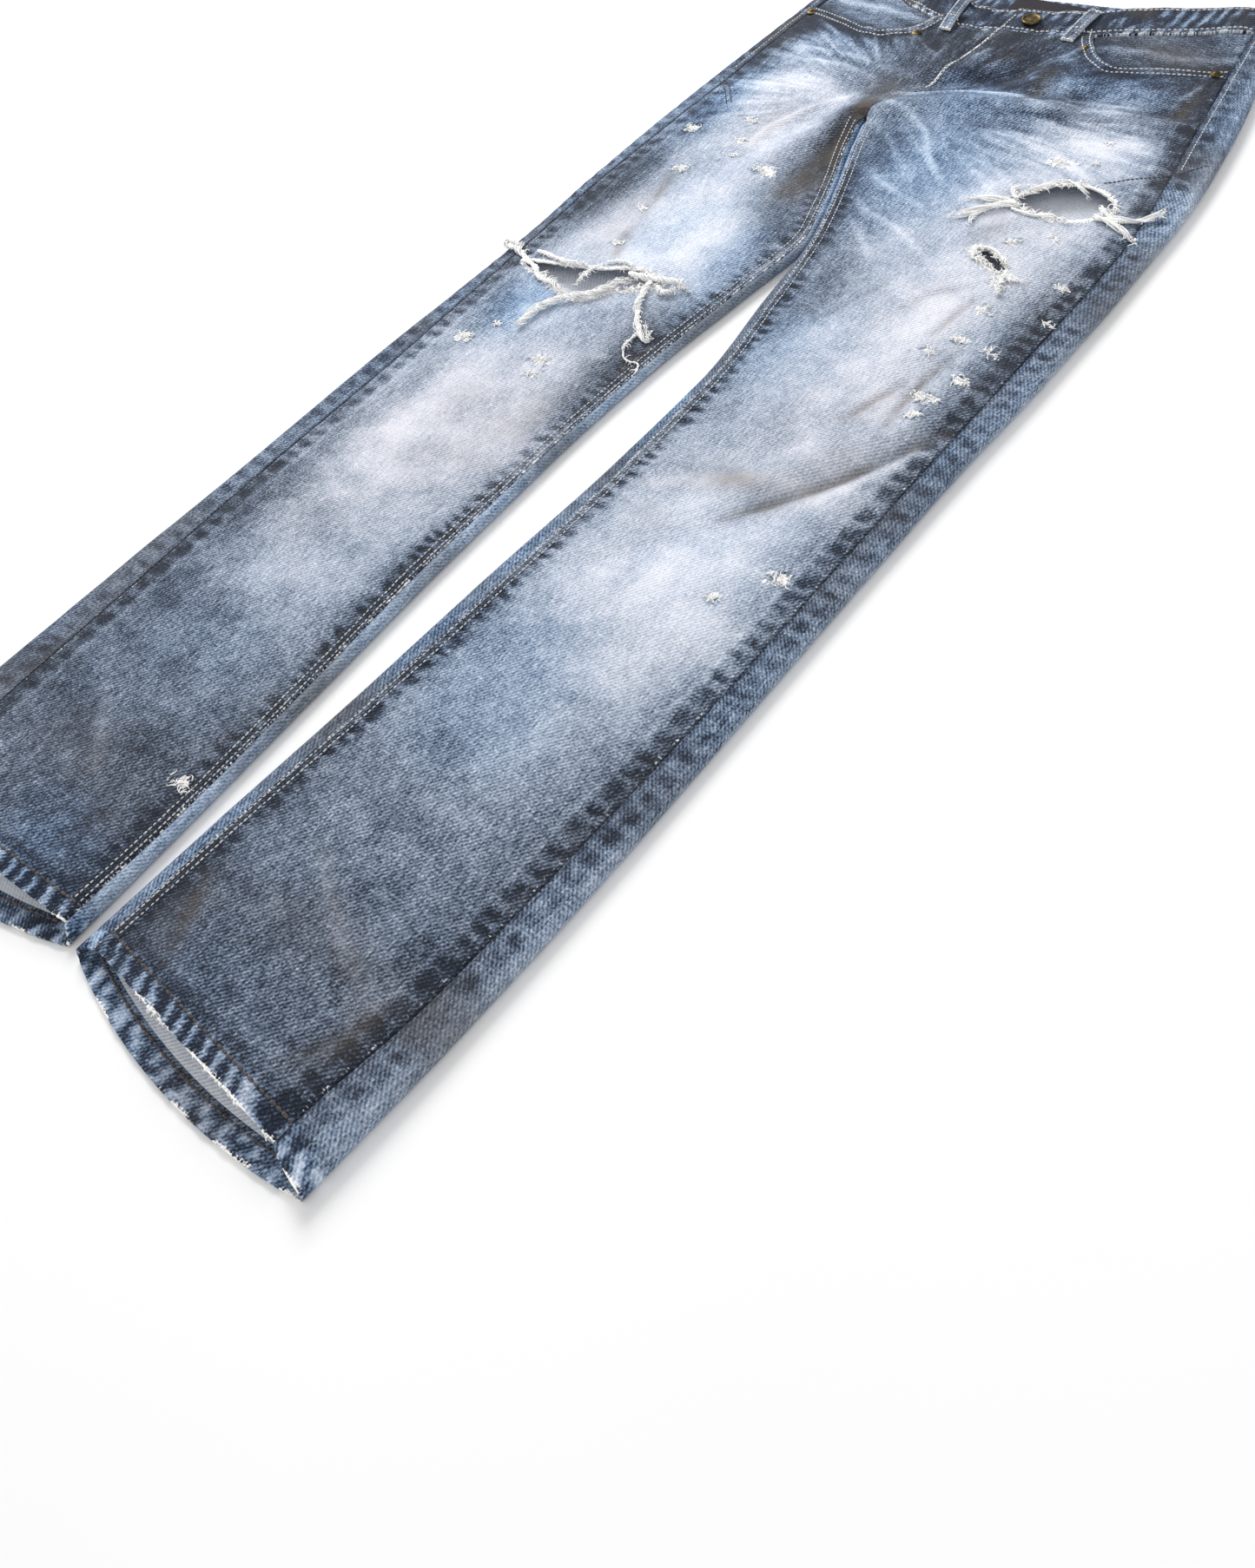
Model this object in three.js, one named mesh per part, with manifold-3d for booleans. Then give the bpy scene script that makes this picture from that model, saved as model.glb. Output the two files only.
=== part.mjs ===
// Ripped jeans laid flat with the front side up. Each leg is a tube of denim: a front
// panel over a back panel, which lies on the surface and folds up round both edges to
// the seams. A waistband, pocket facings, belt loops, metal fittings, a label and the
// loose thread of three rips complete them.
import * as THREE from "three";
import { mergeVertices } from "three/addons/utils/BufferGeometryUtils.js";
import Module from "manifold-3d";

const wasm = await Module();
wasm.setup();

// Driving dimensions in millimetres. X points to the wearer's left, Y to the waist and
// Z up. The drawing's zero lies by the crotch, on the surface under the cloth.
const CLOTH = 1.2;
const SEAM_GAP = 0.3;
const HEM_EXTRA = 0.9;
const HEM_Y = -862;
const HEM_SPREAD = 160;
const HEM_BULGE_POWER = 0.7;
const CROTCH_Y = 12;
const CROTCH_SLACK = 1.2;
const WAIST_Y = 170;
const WAIST_SPREAD = 230;
const WAIST_SAG_SPREAD = 110;
const SAG_POWER = 0.75;
const CROWN_POWER = 0.7;
const BACK_RISE = 47;
const BAND_CLOTH = 2.4;
const BAND_WIDTH = 37;
const BAND_TAPER = 0.95;
const BAND_CENTRE_X = -13;
const BAND_LIFT = 3;
const FLY_BOTTOM_Y = 66;
const FLY_WIDTH = 36;
const FLY_RISE = 1.4;
const FLY_EASE = 20;
const SEAM_FADE = 0.1;
const FOLD_MIN = 1.5;
const WRAP_ABOVE_CROTCH = 0.62;
const WRAP_END_Y = 86;
const FLAT_LEAD = 24;
const FACING_DROP = CLOTH + 0.5;
const FACING_UNDERLAP = 9;
const FACING_LOW_Y = 36;
const SCOOP_MARGIN = 120;
const LOOP_WIDTH = 11;
const LOOP_CLOTH = 1.8;
const LOOP_CLEARANCE = 0.5;
const LOOP_ARCH = 2;
const LOOP_DROP = 12;
const LOOP_INSET = 2;
const BUTTON_RADIUS = 8.5;
const RIVET_RADIUS = 4.5;
const FITTING_SIDES = 14;
const LABEL_CLOTH = 0.8;
const FRAY_STRIP = 1.6;
const STRAND_CLEARANCE = 1.1;
const RIP_SAMPLES = 60;
const RIP_CUT_SAMPLES = 30;
const PRISM_HEIGHT = 80;

// Grid of a panel: stretches of rows from the hem to the waist, and columns across it
const ROW_STRETCHES = [
  { from: HEM_Y, to: HEM_Y + 14, steps: 1 },
  { from: HEM_Y + 14, to: HEM_Y + 17, steps: 1 },
  { from: HEM_Y + 17, to: -200, steps: 14 },
  { from: -200, to: CROTCH_Y - 2, steps: 11 },
  { from: CROTCH_Y - 2, to: WAIST_Y, steps: 10 },
];
const FRONT_COLUMNS = 12;
const BACK_COLUMNS = { strip: 1, fold: 4, flat: 4 };
const HEM_ROWS = 2;

const DENIM = { color: 0x8ea3c0, roughness: 0.92, metalness: 0 };
const DENIM_DARK = { color: 0x5f7391, roughness: 0.92, metalness: 0 };
const THREAD = { color: 0xf2ece4, roughness: 0.95, metalness: 0 };
const BRASS = { color: 0x8a7440, roughness: 0.4, metalness: 1 };
const BLACK_LABEL = { color: 0x17141a, roughness: 0.8, metalness: 0 };

// Each leg by its height up the garment: the fold edges, the seams inside them, how high
// the cloth stands at the two seams, and how much higher it is between them
const LEG_COLUMNS = ["y", "outer", "outseam", "inseam", "inner", "outRise", "inRise", "crown"];
const LEFT_ROWS = [
  [-900, 202, 172, 4, -6, 11, 9, 8],
  [-860, 205, 176, 7, -4, 11, 9, 8],
  [-780, 211, 187, 10, -1, 9, 8, 5],
  [-660, 216, 194, 18, 6, 8, 8, 4],
  [-540, 218, 199, 24, 11, 8, 8, 4],
  [-420, 220, 201, 28, 18, 8, 8, 4],
  [-320, 222, 204, 28, 20, 9, 9, 5],
  [-220, 227, 207, 15, 8, 9, 9, 6],
  [-150, 229, 209, 4, 0, 9, 10, 6],
  [-112, 230, 210, -6, -10, 9, 11, 6],
  [-75, 230, 210, -18, -22, 9, 12, 6],
  [-20, 230, 207, -37, -41, 9, 14, 5],
  [12, 229, 203, -45, -48, 9, 15, 4],
  [85, 222, 193, -26, -26, 10, 14, 5],
  [145, 213, 185, -19, -19, 10, 14, 5],
  [200, 202, 178, -15, -15, 11, 14, 5],
  [290, 186, 166, -12, -12, 11, 14, 5],
];
const RIGHT_ROWS = [
  [-900, -216, -188, -22, -12, 11, 9, 8],
  [-860, -219, -191, -21, -12.5, 11, 9, 8],
  [-780, -224, -196, -21, -15, 9, 8, 5],
  [-660, -224, -200, -25, -19, 8, 8, 4],
  [-540, -222, -203, -30, -23, 8, 8, 4],
  [-420, -222, -202, -29, -24, 8, 8, 4],
  [-320, -218, -203, -24, -20, 9, 8, 5],
  [-220, -216, -205, -14, -9, 9, 8, 6],
  [-150, -219, -207, -6, -2, 9, 8, 6],
  [-112, -219, -206, -15, -11.4, 9, 8, 6],
  [-75, -219, -205, -27, -23.2, 9, 8, 6],
  [-20, -218, -203, -46, -42.2, 9, 11, 5],
  [12, -217, -201, -52, -49, 9, 15, 4],
  [85, -213, -198, -26, -26, 10, 14, 5],
  [145, -210, -196, -19, -19, 10, 14, 5],
  [200, -206, -192, -15, -15, 11, 14, 5],
  [290, -198, -184, -12, -12, 11, 14, 5],
];

// The seam at the centre front, and the slope and sag of the two ends of each leg
const CENTRE_ROWS = [[12, -48.5], [26, -43], [45, -36], [66, -29], [113, -24], [156, -18], [207, -15]];
const LEG_ENDS = {
  left: { side: 1, hemTilt: -15, hemBulge: 25, waistTilt: 76, waistSag: 15 },
  right: { side: -1, hemTilt: -8, hemBulge: 25, waistTilt: 72, waistSag: 29 },
};

// Folds of the front by their two ends, half width and height, where a valley is below zero
const FOLD_COLUMNS = ["x0", "y0", "x1", "y1", "halfWidth", "height"];
const FOLD_ROWS = [
  [-46, 22, 11, 50, 15, 6],
  [11, 50, 84, 68, 16, 7],
  [-18, 78, 22, 100, 13, -5],
  [22, 100, 48, 146, 13, -5],
  [54, 96, 52, 138, 11, 5],
  [-49, 20, -96, -79, 16, 5],
  [-96, -79, -116, -135, 18, 3],
  [-76, 45, -109, -71, 15, -3],
  [-30, 95, -80, 112, 14, 3],
  [90, 100, 178, 116, 14, -3],
  [74, -488, 139, -409, 14, -2.5],
  [139, -409, 197, -286, 13, -3],
  [110, -398, 180, -290, 15, 3],
  [163, -303, 163, -205, 14, -2],
  [130, -121, 57, -267, 20, 2],
  [-130, -231, -171, -111, 13, -2.5],
  [-90, -600, -170, -560, 22, 2],
  [60, -700, 150, -660, 24, 2],
];

// Rips by a few points round each edge, with the stretch of the edge that carries the fray
const RIPS = {
  thigh: {
    leg: "left",
    points: [[117, -50], [123, -33], [142, -11], [167, -9], [181, -19], [181, -34], [160, -52], [137, -57]],
    stripFrom: 0.55,
    stripTo: 0.95,
  },
  thigh_small: {
    leg: "left",
    points: [[121, -117], [130, -112], [142, -117], [155, -130], [143, -129], [129, -123]],
    stripFrom: 0.58,
    stripTo: 0.92,
  },
  knee: {
    leg: "right",
    points: [[-188, -267], [-153, -260], [-122, -253], [-96, -241], [-67, -245], [-96, -270], [-118, -291],
      [-158, -278]],
    stripFrom: 0.56,
    stripTo: 0.9,
  },
};

// Strands of each fray by their root along the strip, the points they pass and thickness
const STRANDS = {
  thigh: [
    { root: 0.95, points: [[112, -66], [102, -72], [87, -87]], width: 2 },
    { root: 0.88, points: [[116, -72], [108, -82], [98, -93]], width: 1.6 },
    { root: 0.12, points: [[190, -40], [204, -32], [217, -16]], width: 2 },
    { root: 0.03, points: [[190, -47], [200, -49], [213, -53]], width: 1.6 },
    { root: 0.35, points: [[168, -62], [172, -70]], width: 1.4 },
    { root: 0.55, points: [[152, -64], [148, -73]], width: 1.4 },
    { root: 0.72, points: [[138, -67], [140, -76]], width: 1.4 },
  ],
  thigh_small: [
    { root: 0.1, points: [[150, -137], [156, -143]], width: 1.4 },
    { root: 0.5, points: [[136, -134], [137, -143]], width: 1.4 },
    { root: 0.9, points: [[123, -128], [117, -134]], width: 1.4 },
  ],
  knee: [
    { root: 0.95, points: [[-184, -279], [-200, -272], [-206, -262], [-200, -254]], width: 2 },
    { root: 0.8, points: [[-168, -287], [-150, -296], [-141, -306]], width: 1.8 },
    { root: 0.5, points: [[-127, -302], [-129, -312], [-130, -337]], width: 2.2 },
    {
      root: 0.3,
      points: [[-84, -276], [-64, -288], [-48, -303], [-39, -314], [-41, -328], [-24, -338]],
      width: 2.2,
    },
    { root: 0.06, points: [[-74, -262], [-58, -262], [-44, -252]], width: 2 },
    { root: 0.18, points: [[-80, -270], [-62, -276], [-48, -278]], width: 1.6 },
  ],
};

// Front pockets by the edge of the scoop, from the waist seam to the outseam
const SCOOPS = {
  left: [[58, 196], [68, 172], [86, 152], [104, 150], [140, 165], [192, 188]],
  right: [[-74, 172], [-82, 148], [-96, 135], [-120, 132], [-166, 148], [-216, 166]],
};
const LOOPS = { left: { x: 46, lean: 2 }, right: { x: -57, lean: -6 } };
const RIVETS = {
  left_inner: { leg: "left", x: 66, y: 164 },
  left_outer: { leg: "left", x: 172, y: 172 },
  right_inner: { leg: "right", x: -77, y: 137 },
  right_outer: { leg: "right", x: -192, y: 148 },
};
const BUTTON = { x: 5, acrossBand: 0.45 };
const LABEL = { x0: -38, x1: 46, bottom: 0.2, top: 0.92 };

const clamp01 = (value) => Math.min(1, Math.max(0, value));
const lerp = (a, b, t) => a + (b - a) * t;
const hump = (t) => Math.max(0, Math.sin(Math.PI * t));
const smooth = (value, from, to) => {
  const t = clamp01((value - from) / (to - from));
  return t * t * (3 - 2 * t);
};

// Smooth curve through a table's points that never overshoots them
function curveThrough(xs, values) {
  const steps = xs.slice(1).map((x, i) => (values[i + 1] - values[i]) / (x - xs[i]));
  const slopes = xs.map((_, i) => {
    const before = steps[Math.max(0, i - 1)];
    const after = steps[Math.min(steps.length - 1, i)];
    return before * after <= 0 ? 0 : (2 * before * after) / (before + after);
  });
  return (x) => {
    const found = xs.findIndex((knot) => knot > x) - 1;
    const i = found === -2 ? xs.length - 2 : Math.max(0, found);
    const span = xs[i + 1] - xs[i];
    const t = clamp01((x - xs[i]) / span);
    const eased = t * t * (3 - 2 * t);
    const leave = slopes[i] * span * t * (1 - t) * (1 - t);
    const arrive = slopes[i + 1] * span * t * t * (t - 1);
    return lerp(values[i], values[i + 1], eased) + leave + arrive;
  };
}

function columnCurves(columns, rows) {
  const ys = rows.map((row) => row[0]);
  const named = columns.map((name, c) => [name, curveThrough(ys, rows.map((row) => row[c]))]);
  return Object.fromEntries(named);
}

const centreX = curveThrough(CENTRE_ROWS.map((row) => row[0]), CENTRE_ROWS.map((row) => row[1]));
const legs = {
  left: { ...LEG_ENDS.left, ...columnCurves(LEG_COLUMNS, LEFT_ROWS) },
  right: { ...LEG_ENDS.right, ...columnCurves(LEG_COLUMNS, RIGHT_ROWS) },
};
const folds = FOLD_ROWS.map((row) => Object.fromEntries(FOLD_COLUMNS.map((name, c) => [name, row[c]])));
const rowY = ROW_STRETCHES.flatMap(({ from, to, steps }) =>
  Array.from({ length: steps }, (_, i) => lerp(from, to, i / steps)));
rowY.push(WAIST_Y);
const lastRow = rowY.length - 1;

const hemShare = (y) => 1 - smooth(y, HEM_Y, HEM_Y + HEM_SPREAD);
const waistShare = (y) => smooth(y, WAIST_Y - WAIST_SPREAD, WAIST_Y);
const rowTilt = (leg, y) => leg.hemTilt * hemShare(y) + leg.waistTilt * waistShare(y);
const frontInnerX = (leg, y) => (y > CROTCH_Y ? centreX(y) + leg.side * SEAM_GAP / 2 : leg.inseam(y));

// Ridges don't add up where they meet, and neither do valleys
function foldHeight(x, y) {
  const heights = folds.map((fold) => {
    const [dx, dy] = [fold.x1 - fold.x0, fold.y1 - fold.y0];
    const t = clamp01(((x - fold.x0) * dx + (y - fold.y0) * dy) / (dx * dx + dy * dy));
    const away = Math.hypot(x - fold.x0 - t * dx, y - fold.y0 - t * dy) / fold.halfWidth;
    return fold.height * Math.exp(-away * away);
  });
  return Math.max(0, ...heights) + Math.min(0, ...heights);
}

// Height of the front's outer face over the surface
function frontHeight(leg, x, y) {
  const inner = frontInnerX(leg, y);
  const across = clamp01((x - inner) / (leg.outseam(y) - inner));
  const seamFade = smooth(1 - across, 0, SEAM_FADE) * (y > CROTCH_Y ? 1 : smooth(across, 0, SEAM_FADE));
  const flySpan = leg.side * (x - centreX(y));
  const onFly = leg.side > 0 ? smooth(y, FLY_BOTTOM_Y - FLY_EASE / 2, FLY_BOTTOM_Y) : 0;
  const flyRise = FLY_RISE * onFly * (1 - smooth(flySpan, FLY_WIDTH - FLY_EASE, FLY_WIDTH));
  const arch = leg.crown(y) * hump(across) ** CROWN_POWER;
  return lerp(leg.inRise(y), leg.outRise(y), across) + arch + foldHeight(x, y) * seamFade + flyRise;
}

function frontPoint(leg, y, across) {
  const outerY = y + rowTilt(leg, y);
  const sag = leg.waistSag * hump(across ** SAG_POWER) * smooth(y, WAIST_Y - WAIST_SAG_SPREAD, WAIST_Y);
  const px = lerp(frontInnerX(leg, y), leg.outseam(outerY), across);
  const py = lerp(y, outerY, across) - sag;
  const atSeam = across === 0 ? leg.inRise(y) : leg.outRise(outerY);
  const onSeam = across === 1 || (across === 0 && y <= CROTCH_Y);
  return new THREE.Vector3(px, py, onSeam ? atSeam : frontHeight(leg, px, py));
}

// Depth to the inner face straight below a sloping point, for an even wall
function wallDepth(leg, { x, y }, thickness) {
  const step = 2;
  const slopeX = (frontHeight(leg, x + step, y) - frontHeight(leg, x - step, y)) / (2 * step);
  const slopeY = (frontHeight(leg, x, y + step) - frontHeight(leg, x, y - step)) / (2 * step);
  const steepest = 1.5;
  return thickness * Math.min(steepest, Math.hypot(1, slopeX, slopeY));
}

const lowered = (point, depth) => new THREE.Vector3(point.x, point.y, point.z - depth);

// Closed solid between an outer and an inner grid of points
function wallGeometry(outer, inner) {
  const [rows, columns] = [outer.length, outer[0].length];
  const points = [...outer.flat(), ...inner.flat()];
  const at = (layer, row, column) => layer * rows * columns + row * columns + column;
  const index = [];
  const quad = (a, b, c, d) => index.push(a, b, c, a, c, d);
  for (let r = 0; r < rows - 1; r += 1) {
    for (let c = 0; c < columns - 1; c += 1) {
      quad(at(0, r, c), at(0, r, c + 1), at(0, r + 1, c + 1), at(0, r + 1, c));
      quad(at(1, r, c), at(1, r + 1, c), at(1, r + 1, c + 1), at(1, r, c + 1));
    }
    quad(at(0, r, 0), at(0, r + 1, 0), at(1, r + 1, 0), at(1, r, 0));
    quad(at(0, r, columns - 1), at(1, r, columns - 1), at(1, r + 1, columns - 1), at(0, r + 1, columns - 1));
  }
  for (let c = 0; c < columns - 1; c += 1) {
    quad(at(0, 0, c), at(1, 0, c), at(1, 0, c + 1), at(0, 0, c + 1));
    quad(at(0, rows - 1, c), at(0, rows - 1, c + 1), at(1, rows - 1, c + 1), at(1, rows - 1, c));
  }
  return facingOut(new THREE.BufferGeometry().setFromPoints(points).setIndex(index));
}

function facingOut(geometry) {
  const { position } = geometry.attributes;
  const corner = (i) => new THREE.Vector3().fromBufferAttribute(position, geometry.index.getX(i));
  let volume = 0;
  for (let i = 0; i < geometry.index.count; i += 3) {
    volume += corner(i).dot(corner(i + 1).cross(corner(i + 2)));
  }
  if (volume < 0) geometry.setIndex(Array.from(geometry.index.array).reverse());
  return geometry;
}

function toSolid(geometry) {
  const bare = geometry.clone();
  bare.deleteAttribute("normal");
  bare.deleteAttribute("uv");
  const merged = mergeVertices(bare, 1e-4);
  return new wasm.Manifold(new wasm.Mesh({
    numProp: 3,
    vertProperties: Float32Array.from(merged.attributes.position.array),
    triVerts: Uint32Array.from(merged.index.array),
  }));
}

function fromSolid(solid) {
  const mesh = solid.getMesh();
  const geometry = new THREE.BufferGeometry();
  geometry.setAttribute("position", new THREE.BufferAttribute(Float32Array.from(mesh.vertProperties), 3));
  return geometry.setIndex(Array.from(mesh.triVerts));
}

// Upright prism over a closed outline, to cut a hole or a scoop
function prism(outline) {
  const shape = new THREE.Shape(outline.map((point) => new THREE.Vector2(point.x, point.y)));
  return toSolid(new THREE.ExtrudeGeometry(shape, { depth: PRISM_HEIGHT, bevelEnabled: false }));
}

function ripOutline(rip, samples) {
  const points = rip.points.map(([x, y]) => new THREE.Vector3(x, y, 0));
  return new THREE.CatmullRomCurve3(points, true, "centripetal").getSpacedPoints(samples).slice(0, samples);
}

function scoopOutline(name, grow) {
  const { side } = legs[name];
  const edge = SCOOPS[name].map(([x, y]) => new THREE.Vector3(x - side * grow / 2, y - grow, 0));
  const curve = new THREE.CatmullRomCurve3(edge, false, "centripetal").getSpacedPoints(2 * edge.length);
  const top = curve[curve.length - 1].y + SCOOP_MARGIN;
  const corners = [curve[curve.length - 1], curve[0]].map(({ x }) => new THREE.Vector3(x, top, 0));
  return [...curve, ...corners];
}

// Front panel as two grids, before its rips and pocket scoop are cut
function frontGrids(leg) {
  const outer = rowY.map((y) =>
    Array.from({ length: FRONT_COLUMNS + 1 }, (_, c) => frontPoint(leg, y, c / FRONT_COLUMNS)));
  const inner = outer.map((row, r) =>
    row.map((point) => lowered(point, wallDepth(leg, point, CLOTH + (r < HEM_ROWS ? HEM_EXTRA : 0)))));
  return { outer, inner };
}

// Height of a grid's outer face at one place, read from its own triangles
function gridHeight(grid, x, y) {
  const spot = new THREE.Vector3(x, y, 0);
  const flat = (point) => new THREE.Vector3(point.x, point.y, 0);
  const weights = new THREE.Vector3();
  for (let r = 0; r < grid.length - 1; r += 1) {
    for (let c = 0; c < grid[0].length - 1; c += 1) {
      const [a, b, d, e] = [grid[r][c], grid[r][c + 1], grid[r + 1][c + 1], grid[r + 1][c]];
      for (const corners of [[a, b, d], [a, d, e]]) {
        THREE.Triangle.getBarycoord(spot, ...corners.map(flat), weights);
        if (Math.min(weights.x, weights.y, weights.z) >= -1e-6) {
          return corners[0].z * weights.x + corners[1].z * weights.y + corners[2].z * weights.z;
        }
      }
    }
  }
  return null;
}

// Section of a back panel: from the inseam on top, round the inner fold, along the
// surface, round the outer fold, to the outseam on top. Above the crotch only the share
// of the inner fold that wrap gives is left, and the back seam lies on the surface.
function backSection(leg, y, outerY, wrap) {
  const inX = (value) => leg.side * value;
  const crossed = y > CROTCH_Y;
  const seamIn = inX(crossed ? centreX(y) : leg.inseam(y));
  const innerEdge = inX(crossed ? centreX(y) : leg.inner(y));
  const [riseIn, riseOut] = [leg.inRise(y), leg.outRise(outerY)];
  const foldIn = Math.max(FOLD_MIN, Math.min(riseIn / 2, seamIn - innerEdge - 2 * SEAM_GAP));
  const foldOut = riseOut / 2;
  const slack = CROTCH_SLACK * (1 - smooth(y, FLY_BOTTOM_Y, WAIST_Y));
  const foldReach = crossed ? SEAM_GAP / 2 + slack + foldIn * Math.min(1, 3 * wrap) : foldIn;
  const inCentre = innerEdge + foldReach;
  const outCentre = inX(leg.outer(outerY)) - foldOut;
  const points = [];
  const arcSteps = 16;
  points.push([Math.max(seamIn - SEAM_GAP, inCentre + SEAM_GAP / 2), riseIn]);
  for (let i = 0; i <= arcSteps; i += 1) {
    const turn = (Math.PI * i) / arcSteps;
    points.push([inCentre - foldIn * Math.sin(turn), (riseIn / 2) * (1 + Math.cos(turn))]);
  }
  for (let i = 0; i <= arcSteps; i += 1) {
    const turn = (Math.PI * i) / arcSteps;
    points.push([outCentre + foldOut * Math.sin(turn), (riseOut / 2) * (1 - Math.cos(turn))]);
  }
  points.push([inX(leg.outseam(outerY)) + SEAM_GAP, riseOut]);
  return sampleSection(points, arcSteps, wrap);
}

// Points along a section for the panel's columns, each with the wall's outward direction
function sampleSection(points, arcSteps, wrap) {
  const lengths = [0];
  for (let i = 1; i < points.length; i += 1) {
    const [dx, dz] = [points[i][0] - points[i - 1][0], points[i][1] - points[i - 1][1]];
    lengths.push(lengths[i - 1] + Math.hypot(dx, dz));
  }
  const total = lengths[lengths.length - 1];
  const foldEnd = lengths[1 + arcSteps];
  const start = (1 - wrap) * foldEnd;
  const breaks = [
    start,
    lerp(start + FLAT_LEAD / 5, lengths[1], wrap),
    lerp(foldEnd + FLAT_LEAD, foldEnd, wrap),
    lengths[2 + arcSteps],
    lengths[2 + 2 * arcSteps],
    total,
  ];
  const { strip, fold, flat } = BACK_COLUMNS;
  const stretches = [strip, fold, flat, fold, strip];
  const marks = stretches.flatMap((steps, s) =>
    Array.from({ length: steps }, (_, i) => lerp(breaks[s], breaks[s + 1], i / steps)));
  marks.push(total);
  const pointAt = (mark) => {
    const found = lengths.findIndex((length) => length > mark) - 1;
    const i = found < 0 ? points.length - 2 : found;
    const t = (mark - lengths[i]) / (lengths[i + 1] - lengths[i]);
    return [lerp(points[i][0], points[i + 1][0], t), lerp(points[i][1], points[i + 1][1], t)];
  };
  return marks.map((mark) => {
    const [x, z] = pointAt(mark);
    const before = pointAt(Math.max(start, mark - CLOTH / 2));
    const after = pointAt(Math.min(total, mark + CLOTH / 2));
    const run = Math.hypot(after[0] - before[0], after[1] - before[1]);
    const share = (mark - start) / (total - start);
    return { x, z, nx: (after[1] - before[1]) / run, nz: (before[0] - after[0]) / run, share };
  });
}

const wrapShare = (y) => (y <= CROTCH_Y ? 1 : WRAP_ABOVE_CROTCH * (1 - smooth(y, CROTCH_Y, WRAP_END_Y)));

function backRow(leg, y, thickness) {
  const outerY = y + rowTilt(leg, y);
  const innerY = y + BACK_RISE * smooth(y, CROTCH_Y, WAIST_Y);
  const section = backSection(leg, y, outerY, wrapShare(y));
  const rowPoint = (sample, depth) => {
    const bulge = leg.hemBulge * hemShare(y) * hump(sample.share) ** HEM_BULGE_POWER;
    const across = lerp(innerY, outerY, sample.share) - bulge;
    return new THREE.Vector3(leg.side * (sample.x - sample.nx * depth), across, sample.z - sample.nz * depth);
  };
  return {
    outer: section.map((sample) => rowPoint(sample, 0)),
    inner: section.map((sample) => rowPoint(sample, thickness)),
  };
}

function backGeometry(leg) {
  const rows = rowY.map((y, r) => backRow(leg, y, CLOTH + (r < HEM_ROWS ? HEM_EXTRA : 0)));
  return wallGeometry(rows.map((row) => row.outer), rows.map((row) => row.inner));
}

// A row of points carried up the waistband, which narrows to its top
function bandRow(row, share) {
  return row.map((point) => new THREE.Vector3(
    lerp(point.x, lerp(BAND_CENTRE_X, point.x, BAND_TAPER), share),
    point.y + SEAM_GAP + BAND_WIDTH * share,
    point.z,
  ));
}

const BAND_SHARES = [0, 0.5, 1];

function bandBackGeometry() {
  const [left, right] = [backRow(legs.left, WAIST_Y, BAND_CLOTH), backRow(legs.right, WAIST_Y, BAND_CLOTH)];
  const joined = (face) => {
    const middle = left[face][0].clone().lerp(right[face][0], 0.5);
    return [...right[face].slice(1).reverse(), middle, ...left[face].slice(1)];
  };
  const faces = { outer: joined("outer"), inner: joined("inner") };
  const grid = (face) => BAND_SHARES.map((share) => bandRow(faces[face], share));
  return wallGeometry(grid("outer"), grid("inner"));
}

function bandFrontGrid(grids) {
  const top = grids.outer[lastRow];
  return BAND_SHARES.map((share) => bandRow(top, share).map((point, c) => {
    const lift = BAND_LIFT * share * hump(c / FRONT_COLUMNS);
    return new THREE.Vector3(point.x, point.y, point.z + lift);
  }));
}

const loweredGrid = (grid, depth) => grid.map((row) => row.map((point) => lowered(point, depth)));

// Height of the front with its waistband, as one face
function dressedHeight(front, x, y) {
  for (const nudge of [0, SEAM_GAP, -SEAM_GAP]) {
    const height = gridHeight(front.band, x, y + nudge) ?? gridHeight(front.grids.outer, x, y + nudge);
    if (height !== null) return height;
  }
  return front.leg.outRise(y);
}

function facingGeometry(name, grids) {
  const depth = (row, r) => row.map((point, c) => lowered(point,
    FACING_DROP * (grids.outer[r][c].z - grids.inner[r][c].z) / CLOTH));
  const firstRow = rowY.findIndex((y) => y > FACING_LOW_Y);
  const outer = grids.outer.map(depth).slice(firstRow);
  const solid = toSolid(wallGeometry(outer, loweredGrid(outer, CLOTH)));
  return fromSolid(solid.intersect(prism(scoopOutline(name, FACING_UNDERLAP))));
}

// Belt loop over the waistband, arched a little off it between its two tacked ends
function loopGeometry(name, front) {
  const { x, lean } = LOOPS[name];
  const seamY = front.grids.outer[lastRow].reduce((best, point) =>
    (Math.abs(point.x - x) < Math.abs(best.x - x) ? point : best)).y;
  const steps = 6;
  const rows = Array.from({ length: steps + 1 }, (_, i) => {
    const share = i / steps;
    const y = lerp(seamY - LOOP_DROP, seamY + BAND_WIDTH - LOOP_INSET, share);
    const middle = x + lean * share;
    return [-0.5, 0, 0.5].map((across) => {
      const px = middle + across * LOOP_WIDTH;
      const rest = dressedHeight(front, px, y) + LOOP_CLEARANCE + LOOP_CLOTH;
      return new THREE.Vector3(px, y, rest + LOOP_ARCH * hump(share));
    });
  });
  return wallGeometry(rows, loweredGrid(rows, LOOP_CLOTH));
}

// Turned fitting: a profile of [radius, height] points spun round an upright axis
function turned(profile) {
  const points = profile.map(([radius, height]) => new THREE.Vector2(radius, height));
  const geometry = new THREE.LatheGeometry(points, FITTING_SIDES);
  geometry.deleteAttribute("normal");
  geometry.deleteAttribute("uv");
  return facingOut(mergeVertices(geometry.rotateX(Math.PI / 2), 1e-3));
}

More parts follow.
